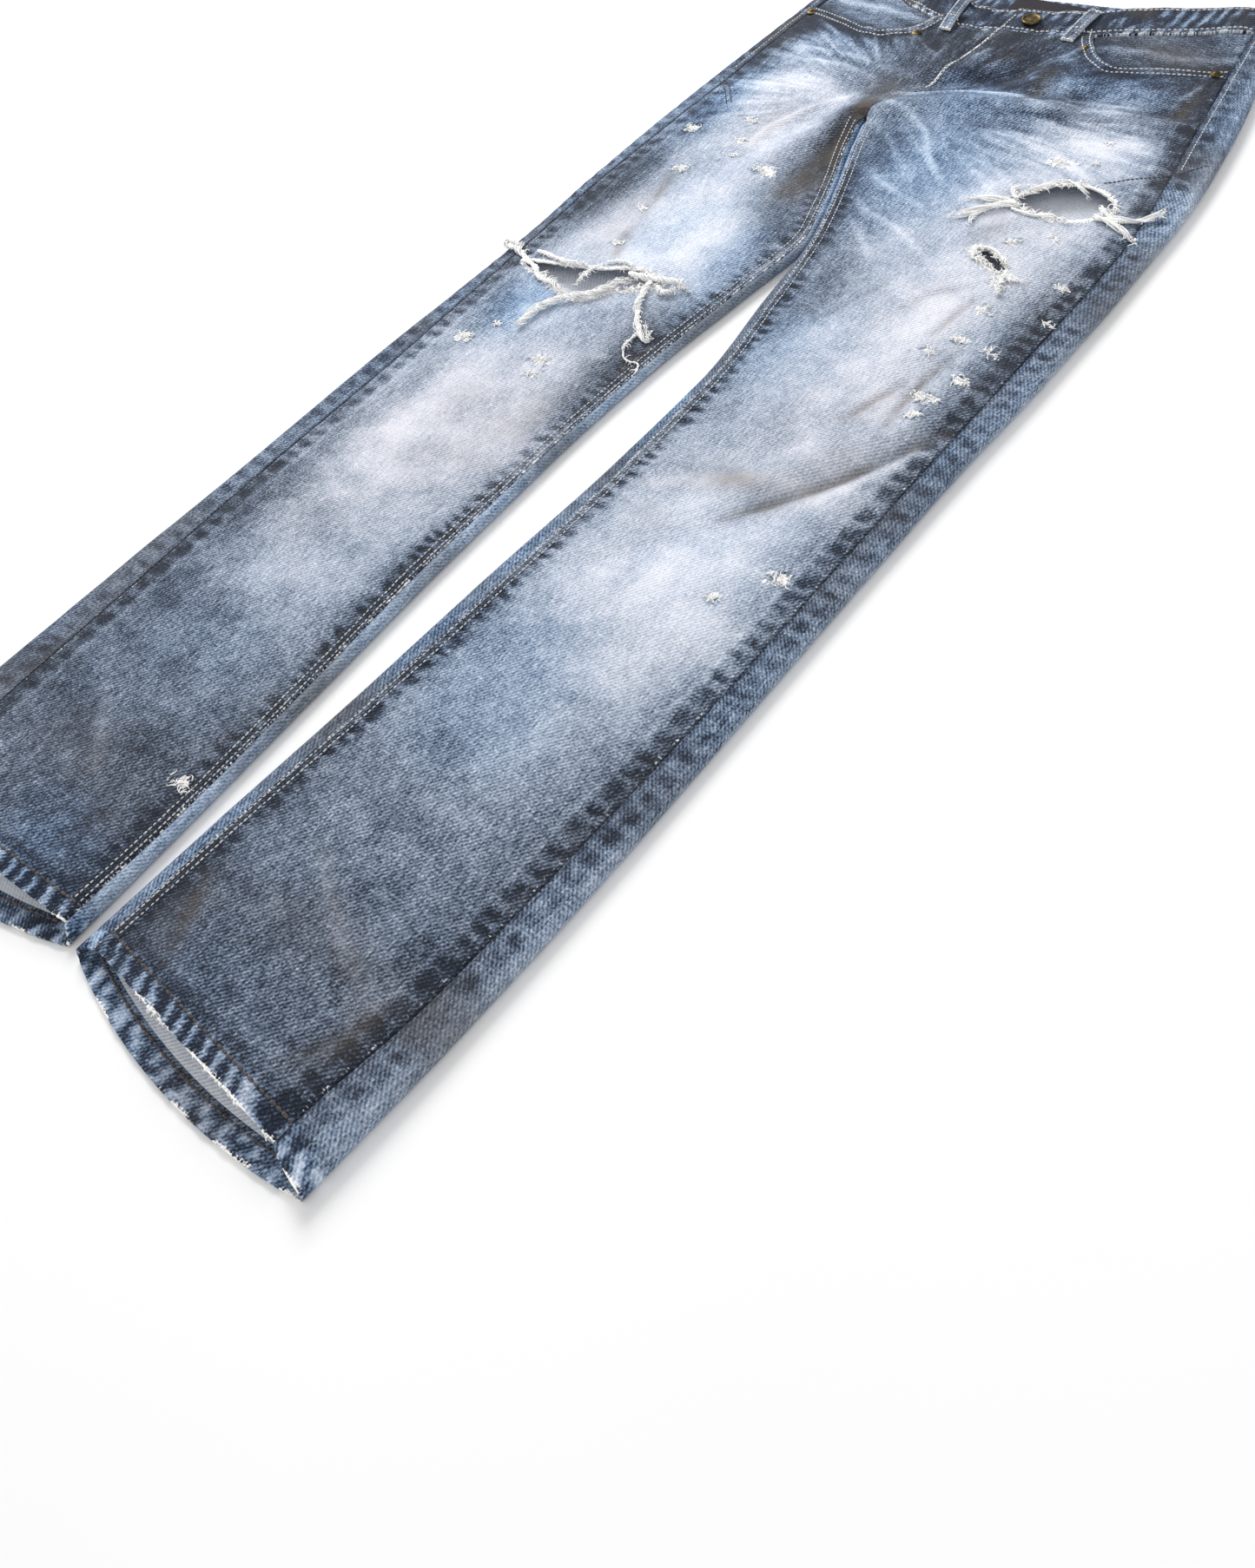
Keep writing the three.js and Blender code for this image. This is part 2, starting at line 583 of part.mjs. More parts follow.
const buttonGeometry = () => turned([
  [0, 0], [BUTTON_RADIUS * 0.5, 0], [BUTTON_RADIUS * 0.5, 1.2], [BUTTON_RADIUS, 1.6], [BUTTON_RADIUS, 3.2],
  [BUTTON_RADIUS * 0.86, 3.8], [BUTTON_RADIUS * 0.7, 3.2], [0, 3.4],
]);
const rivetGeometry = () => turned([
  [0, 0], [RIVET_RADIUS, 0], [RIVET_RADIUS, 0.5], [RIVET_RADIUS * 0.6, 1.1], [RIVET_RADIUS * 0.35, 2.1],
  [0, 2.3],
]);

// Highest point of the front under a round fitting
function seatHeight(front, x, y, radius) {
  const rim = Array.from({ length: FITTING_SIDES }, (_, i) => {
    const turn = (2 * Math.PI * i) / FITTING_SIDES;
    return dressedHeight(front, x + radius * Math.cos(turn), y + radius * Math.sin(turn));
  });
  return Math.max(dressedHeight(front, x, y), ...rim);
}

function labelGeometry() {
  const seat = BAND_CLOTH + SEAM_GAP + LABEL_CLOTH;
  const seamY = WAIST_Y + BACK_RISE;
  const rows = [LABEL.bottom, LABEL.top].map((share) => [LABEL.x0, LABEL.x1].map((x) =>
    new THREE.Vector3(x, seamY + BAND_WIDTH * share, seat)));
  return wallGeometry(rows, loweredGrid(rows, LABEL_CLOTH));
}

// Fray of a rip: a narrow strip just inside the edge, with strands that lie over the cloth
function frayGeometry(name, front) {
  const rip = RIPS[name];
  const outline = ripOutline(rip, RIP_SAMPLES);
  const clockwise = THREE.ShapeUtils.isClockWise(outline) ? 1 : -1;
  const edge = (index, inset) => {
    const before = outline[(index + RIP_SAMPLES - 1) % RIP_SAMPLES];
    const after = outline[(index + 1) % RIP_SAMPLES];
    const along = after.clone().sub(before).normalize();
    const into = new THREE.Vector3(along.y, -along.x, 0).multiplyScalar(inset * clockwise);
    const rim = outline[index % RIP_SAMPLES];
    return rim.clone().add(into).setZ(gridHeight(front.grids.outer, rim.x, rim.y));
  };
  const first = Math.round(rip.stripFrom * RIP_SAMPLES);
  const last = Math.round(rip.stripTo * RIP_SAMPLES);
  const stations = Array.from({ length: Math.floor((last - first) / 2) + 1 }, (_, i) => first + 2 * i);
  const insets = [SEAM_GAP, SEAM_GAP + FRAY_STRIP];
  const rows = stations.map((index) => insets.map((inset) => edge(index, inset)));
  const strip = toSolid(wallGeometry(rows, loweredGrid(rows, CLOTH)));
  const strands = STRANDS[name].map((strand) => {
    const rootIndex = Math.round(lerp(first + 1, last - 1, strand.root));
    const root = edge(rootIndex, SEAM_GAP + FRAY_STRIP / 2);
    const rise = root.clone().setZ(root.z + strand.width + STRAND_CLEARANCE);
    root.z -= CLOTH / 2;
    const lying = strand.points.map(([x, y]) => {
      const rest = gridHeight(front.grids.outer, x, y) ?? front.leg.outRise(y);
      return new THREE.Vector3(x, y, rest + strand.width / 2 + STRAND_CLEARANCE);
    });
    return strandSolid([root, rise, ...lying], strand.width);
  });
  return fromSolid(strands.reduce((whole, strand) => whole.add(strand), strip));
}

function strandSolid(points, width) {
  const path = new THREE.CatmullRomCurve3(points, false, "centripetal");
  const half = width / 2;
  const section = new THREE.Shape([[0, half], [half, 0], [0, -half], [-half, 0]].map(([x, y]) =>
    new THREE.Vector2(x, y)));
  const steps = 3 * (points.length - 1);
  return toSolid(new THREE.ExtrudeGeometry(section, { extrudePath: path, steps, bevelEnabled: false }));
}

const jeans = new THREE.Group();

function addPiece(name, geometry, look, position = [0, 0, 0]) {
  const mesh = new THREE.Mesh(geometry, new THREE.MeshStandardMaterial(look));
  mesh.name = name;
  mesh.position.set(...position);
  jeans.add(mesh);
}

const fronts = {};
for (const [name, leg] of Object.entries(legs)) {
  const grids = frontGrids(leg);
  const front = { leg, grids, band: bandFrontGrid(grids) };
  fronts[name] = front;
  const rips = Object.values(RIPS).filter((rip) => rip.leg === name);
  const cuts = [prism(scoopOutline(name, 0)), ...rips.map((rip) => prism(ripOutline(rip, RIP_CUT_SAMPLES)))];
  const whole = toSolid(wallGeometry(grids.outer, grids.inner));
  addPiece(`front_${name}`, fromSolid(cuts.reduce((panel, cut) => panel.subtract(cut), whole)), DENIM);
  addPiece(`back_${name}`, backGeometry(leg), DENIM_DARK);
  addPiece(`pocket_facing_${name}`, facingGeometry(name, grids), DENIM_DARK);
  addPiece(`waistband_front_${name}`, wallGeometry(front.band, loweredGrid(front.band, BAND_CLOTH)), DENIM);
  addPiece(`belt_loop_${name}`, loopGeometry(name, front), DENIM);
}
addPiece("waistband_back", bandBackGeometry(), DENIM_DARK);
addPiece("waist_label", labelGeometry(), BLACK_LABEL);

for (const [name, { leg, x, y }] of Object.entries(RIVETS)) {
  const seat = seatHeight(fronts[leg], x, y, RIVET_RADIUS) + SEAM_GAP;
  addPiece(`rivet_${name}`, rivetGeometry(), BRASS, [x, y, seat]);
}
const buttonY = fronts.left.band[0][1].y + BAND_WIDTH * BUTTON.acrossBand;
const buttonSeat = seatHeight(fronts.left, BUTTON.x, buttonY, BUTTON_RADIUS * 0.5) + SEAM_GAP;
addPiece("waist_button", buttonGeometry(), BRASS, [BUTTON.x, buttonY, buttonSeat]);

for (const [name, rip] of Object.entries(RIPS)) {
  addPiece(`fray_${name}`, frayGeometry(name, fronts[rip.leg]), THREAD);
}

// The origin goes to the middle of the resting face
const box = new THREE.Box3().setFromObject(jeans);
const middle = box.getCenter(new THREE.Vector3());
jeans.position.set(-middle.x, -middle.y, -box.min.z);

export default jeans;
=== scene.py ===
# %% [markdown]
# # Ripped jeans, laid flat
# These are washed denim jeans with frayed rips, lying front side up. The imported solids
# give every panel its size and place. This lesson dresses them: each panel becomes a fine
# cloth shell with creases and seam puckers, and denim, thread and brass are painted with
# nodes. Loading the frame comes first, because everything else is placed from it.

# %% Frame, units and the box of the solids
import math

import bpy
import numpy as np
from mathutils import Matrix, Vector
from mathutils.bvhtree import BVHTree


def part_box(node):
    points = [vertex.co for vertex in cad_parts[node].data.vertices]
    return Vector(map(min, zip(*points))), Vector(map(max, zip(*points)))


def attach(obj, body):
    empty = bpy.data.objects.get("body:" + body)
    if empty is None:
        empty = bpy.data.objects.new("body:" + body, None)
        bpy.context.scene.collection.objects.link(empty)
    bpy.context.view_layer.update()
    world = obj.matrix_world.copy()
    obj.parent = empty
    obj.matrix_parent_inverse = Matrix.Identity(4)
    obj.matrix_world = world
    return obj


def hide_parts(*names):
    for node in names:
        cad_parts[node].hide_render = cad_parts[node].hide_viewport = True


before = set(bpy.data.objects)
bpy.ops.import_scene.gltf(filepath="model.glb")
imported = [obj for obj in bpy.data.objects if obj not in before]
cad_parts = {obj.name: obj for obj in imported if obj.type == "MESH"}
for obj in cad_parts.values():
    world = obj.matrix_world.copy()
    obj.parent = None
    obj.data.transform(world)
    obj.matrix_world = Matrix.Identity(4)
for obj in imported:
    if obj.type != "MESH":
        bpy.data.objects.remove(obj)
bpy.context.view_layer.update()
MM = 0.001
BODY = "root"

# %% [markdown]
# The cut is drawn in millimetres with its zero by the crotch: X to the wearer's left, Y to
# the waist, Z up. The label on the back waistband has a known place in that drawing, so its
# box in the frame tells how far the drawing has to be moved to lie on the solids.

# %% Driving sizes and the move from the drawing to the frame
CLOTH = 1.2
HEM_CLOTH = 2.1
HEM_DEPTH = 14
HEM_Y = -862
HEM_SPREAD = 160
CROTCH_Y = 12
WAIST_Y = 170
WAIST_SPREAD = 230
WAIST_SAG_SPREAD = 110
BACK_RISE = 47
BAND_CLOTH = 2.4
BAND_WIDTH = 37
BAND_TAPER = 0.95
BAND_CENTRE_X = -13
BAND_LIFT = 3
FLY_BOTTOM_Y = 66
SEAM_GAP = 0.3
LABEL = {"x0": -38, "x1": 46, "bottom": 0.2, "top": 0.92}

label_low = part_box("waist_label")[0]
SHIFT = np.array([
    label_low[0] / MM - LABEL["x0"],
    label_low[1] / MM - (WAIST_Y + BACK_RISE + LABEL["bottom"] * BAND_WIDTH),
    0.0,
])
print("drawing to frame, mm:", np.round(SHIFT, 2))

# %% [markdown]
# Cloth edges are smooth curves. A few rows of sizes down each leg are enough when a curve
# runs through them without overshooting, as a tailor's curve does. The helpers below work
# on whole arrays of points at once, which keeps a mesh of many thousand points quick.

# %% Curves, soft noise and distances
def smooth(value, start, end):
    t = np.clip((value - start) / (end - start), 0, 1)
    return t * t * (3 - 2 * t)


def hump(t):
    return np.maximum(0, np.sin(np.pi * t))


def lerp(a, b, t):
    return a + (b - a) * t


def curve_through(xs, values):
    xs, values = np.asarray(xs, float), np.asarray(values, float)
    steps = np.diff(values) / np.diff(xs)
    before = np.concatenate([steps[:1], steps])
    after = np.concatenate([steps, steps[-1:]])
    rising = before * after > 0
    slopes = np.where(rising, 2 * before * after / np.where(rising, before + after, 1), 0)

    def curve(x):
        x = np.clip(x, xs[0], xs[-1])
        i = np.clip(np.searchsorted(xs, x, side="right") - 1, 0, len(xs) - 2)
        span = xs[i + 1] - xs[i]
        t = (x - xs[i]) / span
        leave = slopes[i] * span * t * (1 - t) ** 2
        arrive = slopes[i + 1] * span * t * t * (t - 1)
        return lerp(values[i], values[i + 1], t * t * (3 - 2 * t)) + leave + arrive

    return curve


LATTICE = np.random.default_rng(11).random((256, 256))


def cloud(x, y, size, seed=0):
    """Soft noise from 0 to 1 in patches of that size."""
    u, v = np.asarray(x) / size + 37.3 * seed, np.asarray(y) / size + 17.7 * seed
    i, j = np.floor(u).astype(int), np.floor(v).astype(int)
    s, t = smooth(u - i, 0, 1), smooth(v - j, 0, 1)
    at = lambda a, b: LATTICE[a % 256, b % 256]
    return lerp(lerp(at(i, j), at(i + 1, j), s), lerp(at(i, j + 1), at(i + 1, j + 1), s), t)


def line_distance(points, x, y):
    """Distance to a bent line, and the share of its length where the nearest place is."""
    points = np.asarray(points, float)
    lengths = np.hypot(*np.diff(points, axis=0).T)
    starts = np.concatenate([[0], np.cumsum(lengths)])
    best, share = np.full(np.shape(x), np.inf), np.zeros(np.shape(x))
    for (x0, y0), (x1, y1), begin, length in zip(points, points[1:], starts, lengths):
        dx, dy = x1 - x0, y1 - y0
        t = np.clip(((x - x0) * dx + (y - y0) * dy) / length ** 2, 0, 1)
        away = np.hypot(x - x0 - t * dx, y - y0 - t * dy)
        nearer = away < best
        best = np.where(nearer, away, best)
        share = np.where(nearer, (begin + t * length) / starts[-1], share)
    return best, share


def bend_through(points, count, closed=False):
    """Evenly spaced points on a smooth line through a few."""
    points = np.asarray(points, float)
    ring = np.vstack([points[-1:], points, points[:2]]) if closed else np.vstack(
        [2 * points[:1] - points[1:2], points, 2 * points[-1:] - points[-2:-1]])
    t = np.linspace(0, 1, 24, endpoint=False)[:, None]
    dense = []
    for a, b, c, d in zip(ring, ring[1:], ring[2:], ring[3:]):
        dense.append(0.5 * (2 * b + (c - a) * t + (2 * a - 5 * b + 4 * c - d) * t ** 2
                            + (3 * b - a - 3 * c + d) * t ** 3))
    dense = np.vstack([*dense, points[:1] if closed else points[-1:]])
    run = np.concatenate([[0], np.cumsum(np.linalg.norm(np.diff(dense, axis=0), axis=1))])
    marks = np.linspace(0, run[-1], count, endpoint=not closed)
    return np.stack([np.interp(marks, run, dense[:, k]) for k in range(points.shape[1])], axis=1)


print("noise lattice:", LATTICE.shape)

# %% [markdown]
# Each leg is a tube pressed flat. The back panel lies on the surface and folds up round
# both edges, so the outseam and the inseam lie on top, a little inside the fold edges.

# %% Rows of the two legs
LEG_COLUMNS = ("y", "outer", "outseam", "inseam", "inner", "out_rise", "in_rise", "crown")
LEG_ROWS = {
    "left": [
        (-900, 202, 172, 4, -6, 11, 9, 8),
        (-860, 205, 176, 7, -4, 11, 9, 8),
        (-780, 211, 187, 10, -1, 9, 8, 5),
        (-660, 216, 194, 18, 6, 8, 8, 4),
        (-540, 218, 199, 24, 11, 8, 8, 4),
        (-420, 220, 201, 28, 18, 8, 8, 4),
        (-320, 222, 204, 28, 20, 9, 9, 5),
        (-220, 227, 207, 15, 8, 9, 9, 6),
        (-150, 229, 209, 4, 0, 9, 10, 6),
        (-112, 230, 210, -6, -10, 9, 11, 6),
        (-75, 230, 210, -18, -22, 9, 12, 6),
        (-20, 230, 207, -37, -41, 9, 14, 5),
        (12, 229, 203, -45, -48, 9, 15, 4),
        (85, 222, 193, -26, -26, 10, 14, 5),
        (145, 213, 185, -19, -19, 10, 14, 5),
        (200, 202, 178, -15, -15, 11, 14, 5),
        (290, 186, 166, -12, -12, 11, 14, 5),
    ],
    "right": [
        (-900, -216, -188, -22, -12, 11, 9, 8),
        (-860, -219, -191, -21, -12.5, 11, 9, 8),
        (-780, -224, -196, -21, -15, 9, 8, 5),
        (-660, -224, -200, -25, -19, 8, 8, 4),
        (-540, -222, -203, -30, -23, 8, 8, 4),
        (-420, -222, -202, -29, -24, 8, 8, 4),
        (-320, -218, -203, -24, -20, 9, 8, 5),
        (-220, -216, -205, -14, -9, 9, 8, 6),
        (-150, -219, -207, -6, -2, 9, 8, 6),
        (-112, -219, -206, -15, -11.4, 9, 8, 6),
        (-75, -219, -205, -27, -23.2, 9, 8, 6),
        (-20, -218, -203, -46, -42.2, 9, 11, 5),
        (12, -217, -201, -52, -49, 9, 15, 4),
        (85, -213, -198, -26, -26, 10, 14, 5),
        (145, -210, -196, -19, -19, 10, 14, 5),
        (200, -206, -192, -15, -15, 11, 14, 5),
        (290, -198, -184, -12, -12, 11, 14, 5),
    ],
}
LEG_ENDS = {
    "left": {"side": 1, "hem_tilt": -15, "hem_bulge": 25, "waist_tilt": 76, "waist_sag": 15},
    "right": {"side": -1, "hem_tilt": -8, "hem_bulge": 25, "waist_tilt": 72, "waist_sag": 29},
}
CENTRE_ROWS = [(12, -48.5), (26, -43), (45, -36), (66, -29), (113, -24), (156, -18), (207, -15)]
centre_x = curve_through(*zip(*CENTRE_ROWS))
legs = {}
for name, rows in LEG_ROWS.items():
    columns = np.array(rows, float).T
    curves = {key: curve_through(columns[0], values) for key, values in zip(LEG_COLUMNS, columns)}
    legs[name] = {**LEG_ENDS[name], **curves, "name": name}


def row_tilt(leg, y):
    hem_share = 1 - smooth(y, HEM_Y, HEM_Y + HEM_SPREAD)
    waist_share = smooth(y, WAIST_Y - WAIST_SPREAD, WAIST_Y)
    return leg["hem_tilt"] * hem_share + leg["waist_tilt"] * waist_share


def inner_x(leg, y):
    centre = centre_x(y) + leg["side"] * SEAM_GAP / 2
    return lerp(leg["inseam"](y), centre, smooth(y, CROTCH_Y - 8, CROTCH_Y + 1))


print("legs:", {name: len(rows) for name, rows in LEG_ROWS.items()})

# %% [markdown]
# Creases are soft troughs and ridges laid over the panel. The broad ones are in the solids
# too. The fine ones follow the photograph: sharp pinches by the knees, whiskers fanning
# from the crotch and hips, and small pulls round the pockets. Each is a bent line with a
# half width and a height, and the dirt that has gathered in it.

# %% Creases of the front
WHISKER_CENTRE = (-34, 30)
BROAD_FOLDS = [
    (6, 15, [(-46, 22), (11, 50)]),
    (7, 16, [(11, 50), (84, 68)]),
    (-5, 13, [(-18, 78), (22, 100)]),
    (-5, 13, [(22, 100), (48, 146)]),
    (5, 11, [(54, 96), (52, 138)]),
    (5, 16, [(-49, 20), (-96, -79)]),
    (3, 18, [(-96, -79), (-116, -135)]),
    (-3, 15, [(-76, 45), (-109, -71)]),
    (3, 14, [(-30, 95), (-80, 112)]),
    (-3, 14, [(90, 100), (178, 116)]),
    (-2.5, 14, [(74, -488), (139, -409)]),
    (-3, 13, [(139, -409), (197, -286)]),
    (3, 15, [(110, -398), (180, -290)]),
    (-2, 14, [(163, -303), (163, -205)]),
    (2, 20, [(130, -121), (57, -267)]),
    (-2.5, 13, [(-130, -231), (-171, -111)]),
    (2, 22, [(-90, -600), (-170, -560)]),
    (2, 24, [(60, -700), (150, -660)]),
]
FINE_CREASES = [
    # height, half width, dirt, line
    (-2.2, 3.2, 0.9, [(197, -286), (184, -316), (163, -358), (146, -384), (118, -425)]),
    (0.8, 5.0, 0.0, [(203, -296), (190, -322), (170, -362), (152, -390)]),
    (0.8, 6.0, 0.5, [(150, -376), (110, -392), (74, -408), (52, -422)]),
    (-1.5, 2.6, 0.8, [(166, -212), (161, -248), (160, -280), (163, -305)]),
    (-1.1, 3.0, 0.6, [(151, -262), (143, -286), (136, -312)]),
    (-1.0, 2.4, 0.5, [(150, -160), (145, -184), (142, -212)]),
    (-0.9, 3.0, 0.35, [(140, -150), (120, -174), (110, -196)]),
    (-0.9, 3.0, 0.4, [(86, -178), (74, -200), (65, -228)]),
    (0.9, 3.0, 0.0, [(-46, 30), (-18, 24), (8, 8), (26, -18), (42, -38)]),
    (0.7, 3.0, 0.0, [(2, -6), (28, -24), (50, -44), (62, -52)]),
    (0.7, 3.2, 0.0, [(-14, -46), (8, -64), (36, -76), (60, -84)]),
    (0.7, 3.2, 0.0, [(-4, -84), (26, -104), (58, -114), (100, -142)]),
    (0.6, 3.0, 0.0, [(-34, 4), (-8, -16), (20, -44)]),
    (0.6, 3.4, 0.0, [(14, -112), (40, -136), (62, -160)]),
    (1.1, 3.4, 0.0, [(-48, 46), (-20, 58), (10, 69), (40, 77), (62, 74), (80, 60)]),
    (-1.6, 4.0, 0.6, [(60, 128), (60, 104), (62, 78)]),
    (1.4, 3.4, 0.1, [(-116, -62), (-114, -34), (-100, 0), (-74, 38)]),
    (-1.6, 5.0, 0.7, [(-62, 44), (-56, 16), (-54, -14), (-50, -44)]),
    (1.0, 3.0, 0.0, [(-198, 150), (-172, 134), (-148, 118), (-128, 110)]),
    (0.9, 2.6, 0.0, [(-200, 124), (-188, 108), (-180, 84)]),
    (0.9, 2.8, 0.0, [(-84, 140), (-62, 124), (-42, 110)]),
    (0.8, 3.4, 0.0, [(-190, 92), (-150, 84), (-110, 86), (-66, 78)]),
    (0.8, 3.4, 0.0, [(-178, 72), (-140, 66), (-104, 70), (-70, 62)]),
    (1.4, 2.8, 0.0, [(172, 166), (169, 146), (164, 122)]),
    (-1.4, 4.0, 0.7, [(166, 158), (172, 136), (170, 104)]),
    (0.8, 3.2, 0.0, [(78, 92), (104, 92), (132, 100), (170, 122)]),
    (0.7, 3.2, 0.0, [(80, 78), (108, 80), (140, 90)]),
    (-1.0, 4.0, 0.3, [(20, 106), (34, 118), (42, 142)]),
    (-1.2, 3.4, 0.6, [(-136, -196), (-130, -216), (-120, -236)]),
    (-0.8, 4.0, 0.5, [(-152, -118), (-140, -156), (-134, -190)]),
    (-0.8, 5.0, 0.7, [(-40, -286), (-34, -310), (-36, -338)]),
    (0.6, 5.0, 0.4, [(-134, -742), (-98, -776), (-70, -796)]),
    (0.6, 5.0, 0.5, [(70, -744), (116, -776), (166, -802)]),
    (-0.8, 4.0, 0.6, [(26, -792), (42, -822), (54, -846)]),
    (-0.8, 4.0, 0.6, [(174, -786), (168, -818), (152, -846)]),
    (-0.6, 3.0, 0.2, [(-58, -800), (-66, -826), (-76, -850)]),
]


def whiskers(x, y):
    """Crinkles that fan out from the crotch, from about -0.5 to 0.5, and where they show."""
    dx, dy = x - WHISKER_CENTRE[0], y - WHISKER_CENTRE[1]
    turn = np.arctan2(dy, np.abs(dx) + 8) + 0.16 * (cloud(x, y, 45, 14) - 0.5)
    fan = cloud(turn * 15, np.hypot(dx, dy) / 38, 1, 12 + 3 * (dx > 0)) - 0.5
    return fan, smooth(y, -120, 90) * smooth(np.hypot(dx, dy), 35, 120)


def folds_at(x, y):
    """Ridges don't add up where they meet, and neither do valleys."""
    ridge, valley = np.zeros(np.shape(x)), np.zeros(np.shape(x))
    for height, half_width, line in BROAD_FOLDS:
        away, _ = line_distance(line, x, y)
        bump = height * np.exp(-(away / half_width) ** 2)
        ridge, valley = np.maximum(ridge, bump), np.minimum(valley, bump)
    return ridge + valley


def creases_at(x, y):
    """Height of the fine creases, how pale their ridges are from wear and painted highlight, and their
    dirt.
    """
    height, ridge_wear_and_highlight, dirt = (np.zeros(np.shape(x)) for _ in range(3))
    for rise, half_width, soil, line in FINE_CREASES:
        away, share = line_distance(line, x, y)
        shape = np.exp(-(away / half_width) ** 2) * hump(0.06 + 0.88 * share) ** 0.6
        height += rise * shape
        ridge_wear_and_highlight += max(rise, 0) * shape
        wide = np.exp(-(away / (1.7 * half_width)) ** 2) * hump(0.06 + 0.88 * share) ** 0.6
        dirt += soil * (0.5 * shape + 0.5 * wide)
    return height, ridge_wear_and_highlight, dirt


print("creases:", len(BROAD_FOLDS), "broad,", len(FINE_CREASES), "fine")

# %% [markdown]
# Beside every seam the cloth lies over a folded allowance, puckers as the thread shrinks
# and fades on the high spots. That leaves a ladder of dark blotches down the seam. The same
# function gives the small bumps of the mesh and the blotches of the paint.

# %% Seam ladders and the height of the front
OUTSEAM_PITCH = 15.5
INSEAM_PITCH = 11.5
INSEAM_WELT = 9


def ladder(along, away, pitch, centre, half_width, seed):
    zero = 0 * along
    wander = 20 * (cloud(along, zero, 46, seed) - 0.5) + 7 * (cloud(along, away, 9, seed + 2) - 0.5)
    beat = 0.5 + 0.5 * np.cos(2 * np.pi * (along + wander) / pitch)
    strength = 0.25 + 0.95 * cloud(along, zero, 13, seed + 3)
    middle = centre + 4 * (cloud(along, zero, 10, seed + 4) - 0.5)
    reach = np.exp(-np.abs((away - middle) / half_width) ** 2.4)
    ragged = 0.5 * (cloud(along, away, 3.4, seed + 5) - 0.5)
    return smooth(beat + ragged, 0.15, 0.85) * strength * reach


def seam_distances(leg, x, y):
    return leg["side"] * (leg["outseam"](y) - x), leg["side"] * (x - inner_x(leg, y))


def front_ladders(leg, x, y):
    to_out, to_in = seam_distances(leg, x, y)
    seed = 5 if leg["side"] > 0 else 9
    below = smooth(-y, -60, 30)
    at_out = ladder(y, to_out, OUTSEAM_PITCH, 8.5, 6.5, seed) * lerp(0.45, 1, below)
    at_in = ladder(y, to_in, INSEAM_PITCH, 9.5, 5.6, seed + 1) * smooth(-y, 40, 110)
    return at_out, at_in


def front_height(leg, x, y):
    """Outer face of a front panel over the surface, as a function of the place alone."""
    inner = inner_x(leg, y)
    across = np.clip((x - inner) / (leg["outseam"](y) - inner), 0, 1)
    in_fade = np.where(y > CROTCH_Y, 1, smooth(across, 0, 0.1))
    seam_fade = smooth(1 - across, 0, 0.1) * in_fade
    fly_span = leg["side"] * (x - centre_x(y))
    on_fly = smooth(y, FLY_BOTTOM_Y - 10, FLY_BOTTOM_Y) if leg["side"] > 0 else 0
    fly_rise = 1.4 * on_fly * (1 - smooth(fly_span, 16, 36))
    arch = leg["crown"](y) * hump(across) ** 0.7
    broad = lerp(leg["in_rise"](y), leg["out_rise"](y), across) + arch + folds_at(x, y) * seam_fade
    to_out, to_in = seam_distances(leg, x, y)
    edge_fade = smooth(np.minimum(to_out, np.where(y > CROTCH_Y, 99, to_in)), 0, 14)
    fan, fan_share = whiskers(x, y)
    fine = creases_at(x, y)[0] + 1.5 * (cloud(x, y, 60, 1) - 0.5) + 0.7 * (cloud(x, y, 24, 2) - 0.5)
    fine += 2.2 * fan * fan_share
    at_out, at_in = front_ladders(leg, x, y)
    welt = 0.7 * (1 - smooth(to_in, INSEAM_WELT - 2, INSEAM_WELT + 1)) * smooth(CROTCH_Y - y, 0, 30)
    groove = -0.5 * np.exp(-(to_out / 1.6) ** 2)
    return broad + fly_rise + fine * edge_fade - 0.8 * at_out - 0.8 * at_in + welt + groove


def front_place(leg, y, across):
    """Place on the flat of a row's share across, from the inseam or fly to the outseam."""
    outer_y = y + row_tilt(leg, y)
    sag = leg["waist_sag"] * hump(across ** 0.75) * smooth(y, WAIST_Y - WAIST_SAG_SPREAD, WAIST_Y)
    return lerp(inner_x(leg, y), leg["outseam"](outer_y), across), lerp(y, outer_y, across) - sag


knee_height = front_height(legs["left"], np.array(100.0), np.array(-400.0))
print("left knee's height, mm:", round(float(knee_height), 1))

# %% [markdown]
# Faded denim is dark where it was never rubbed and almost white where it was. Four numbers
# at every point carry that to the material: fade, stain, how blue the shade is, and how
# far the surface has worn to white cotton. Fade and stain also carry painted shade and
# painted highlights. Soft patches listed over a slow change down the leg give the fades of
# the thighs, knees and shins; a few dark ones are painted shade in folds, below the pocket
# scoops, beside the fly and beside the crotch.

# %% Fades, stains and painted shade
FADE_DOWN = {
    "left": [(-900, 0.3), (-860, 0.32), (-800, 0.35), (-720, 0.41), (-660, 0.49), (-600, 0.57),
             (-540, 0.65), (-470, 0.78), (-400, 0.7), (-330, 0.7), (-260, 0.74), (-180, 0.74),
             (-100, 0.7), (-40, 0.64), (20, 0.54), (80, 0.34), (120, 0.23), (170, 0.14), (240, 0.14)],
    "right": [(-900, 0.24), (-800, 0.28), (-740, 0.32), (-680, 0.38), (-620, 0.5), (-560, 0.64),
              (-500, 0.78), (-420, 0.88), (-350, 0.8), (-300, 0.66), (-260, 0.72), (-200, 0.86),
              (-120, 0.84), (-60, 0.82), (0, 0.78), (30, 0.72), (56, 0.46), (90, 0.34), (150, 0.17),
              (240, 0.15)],
}
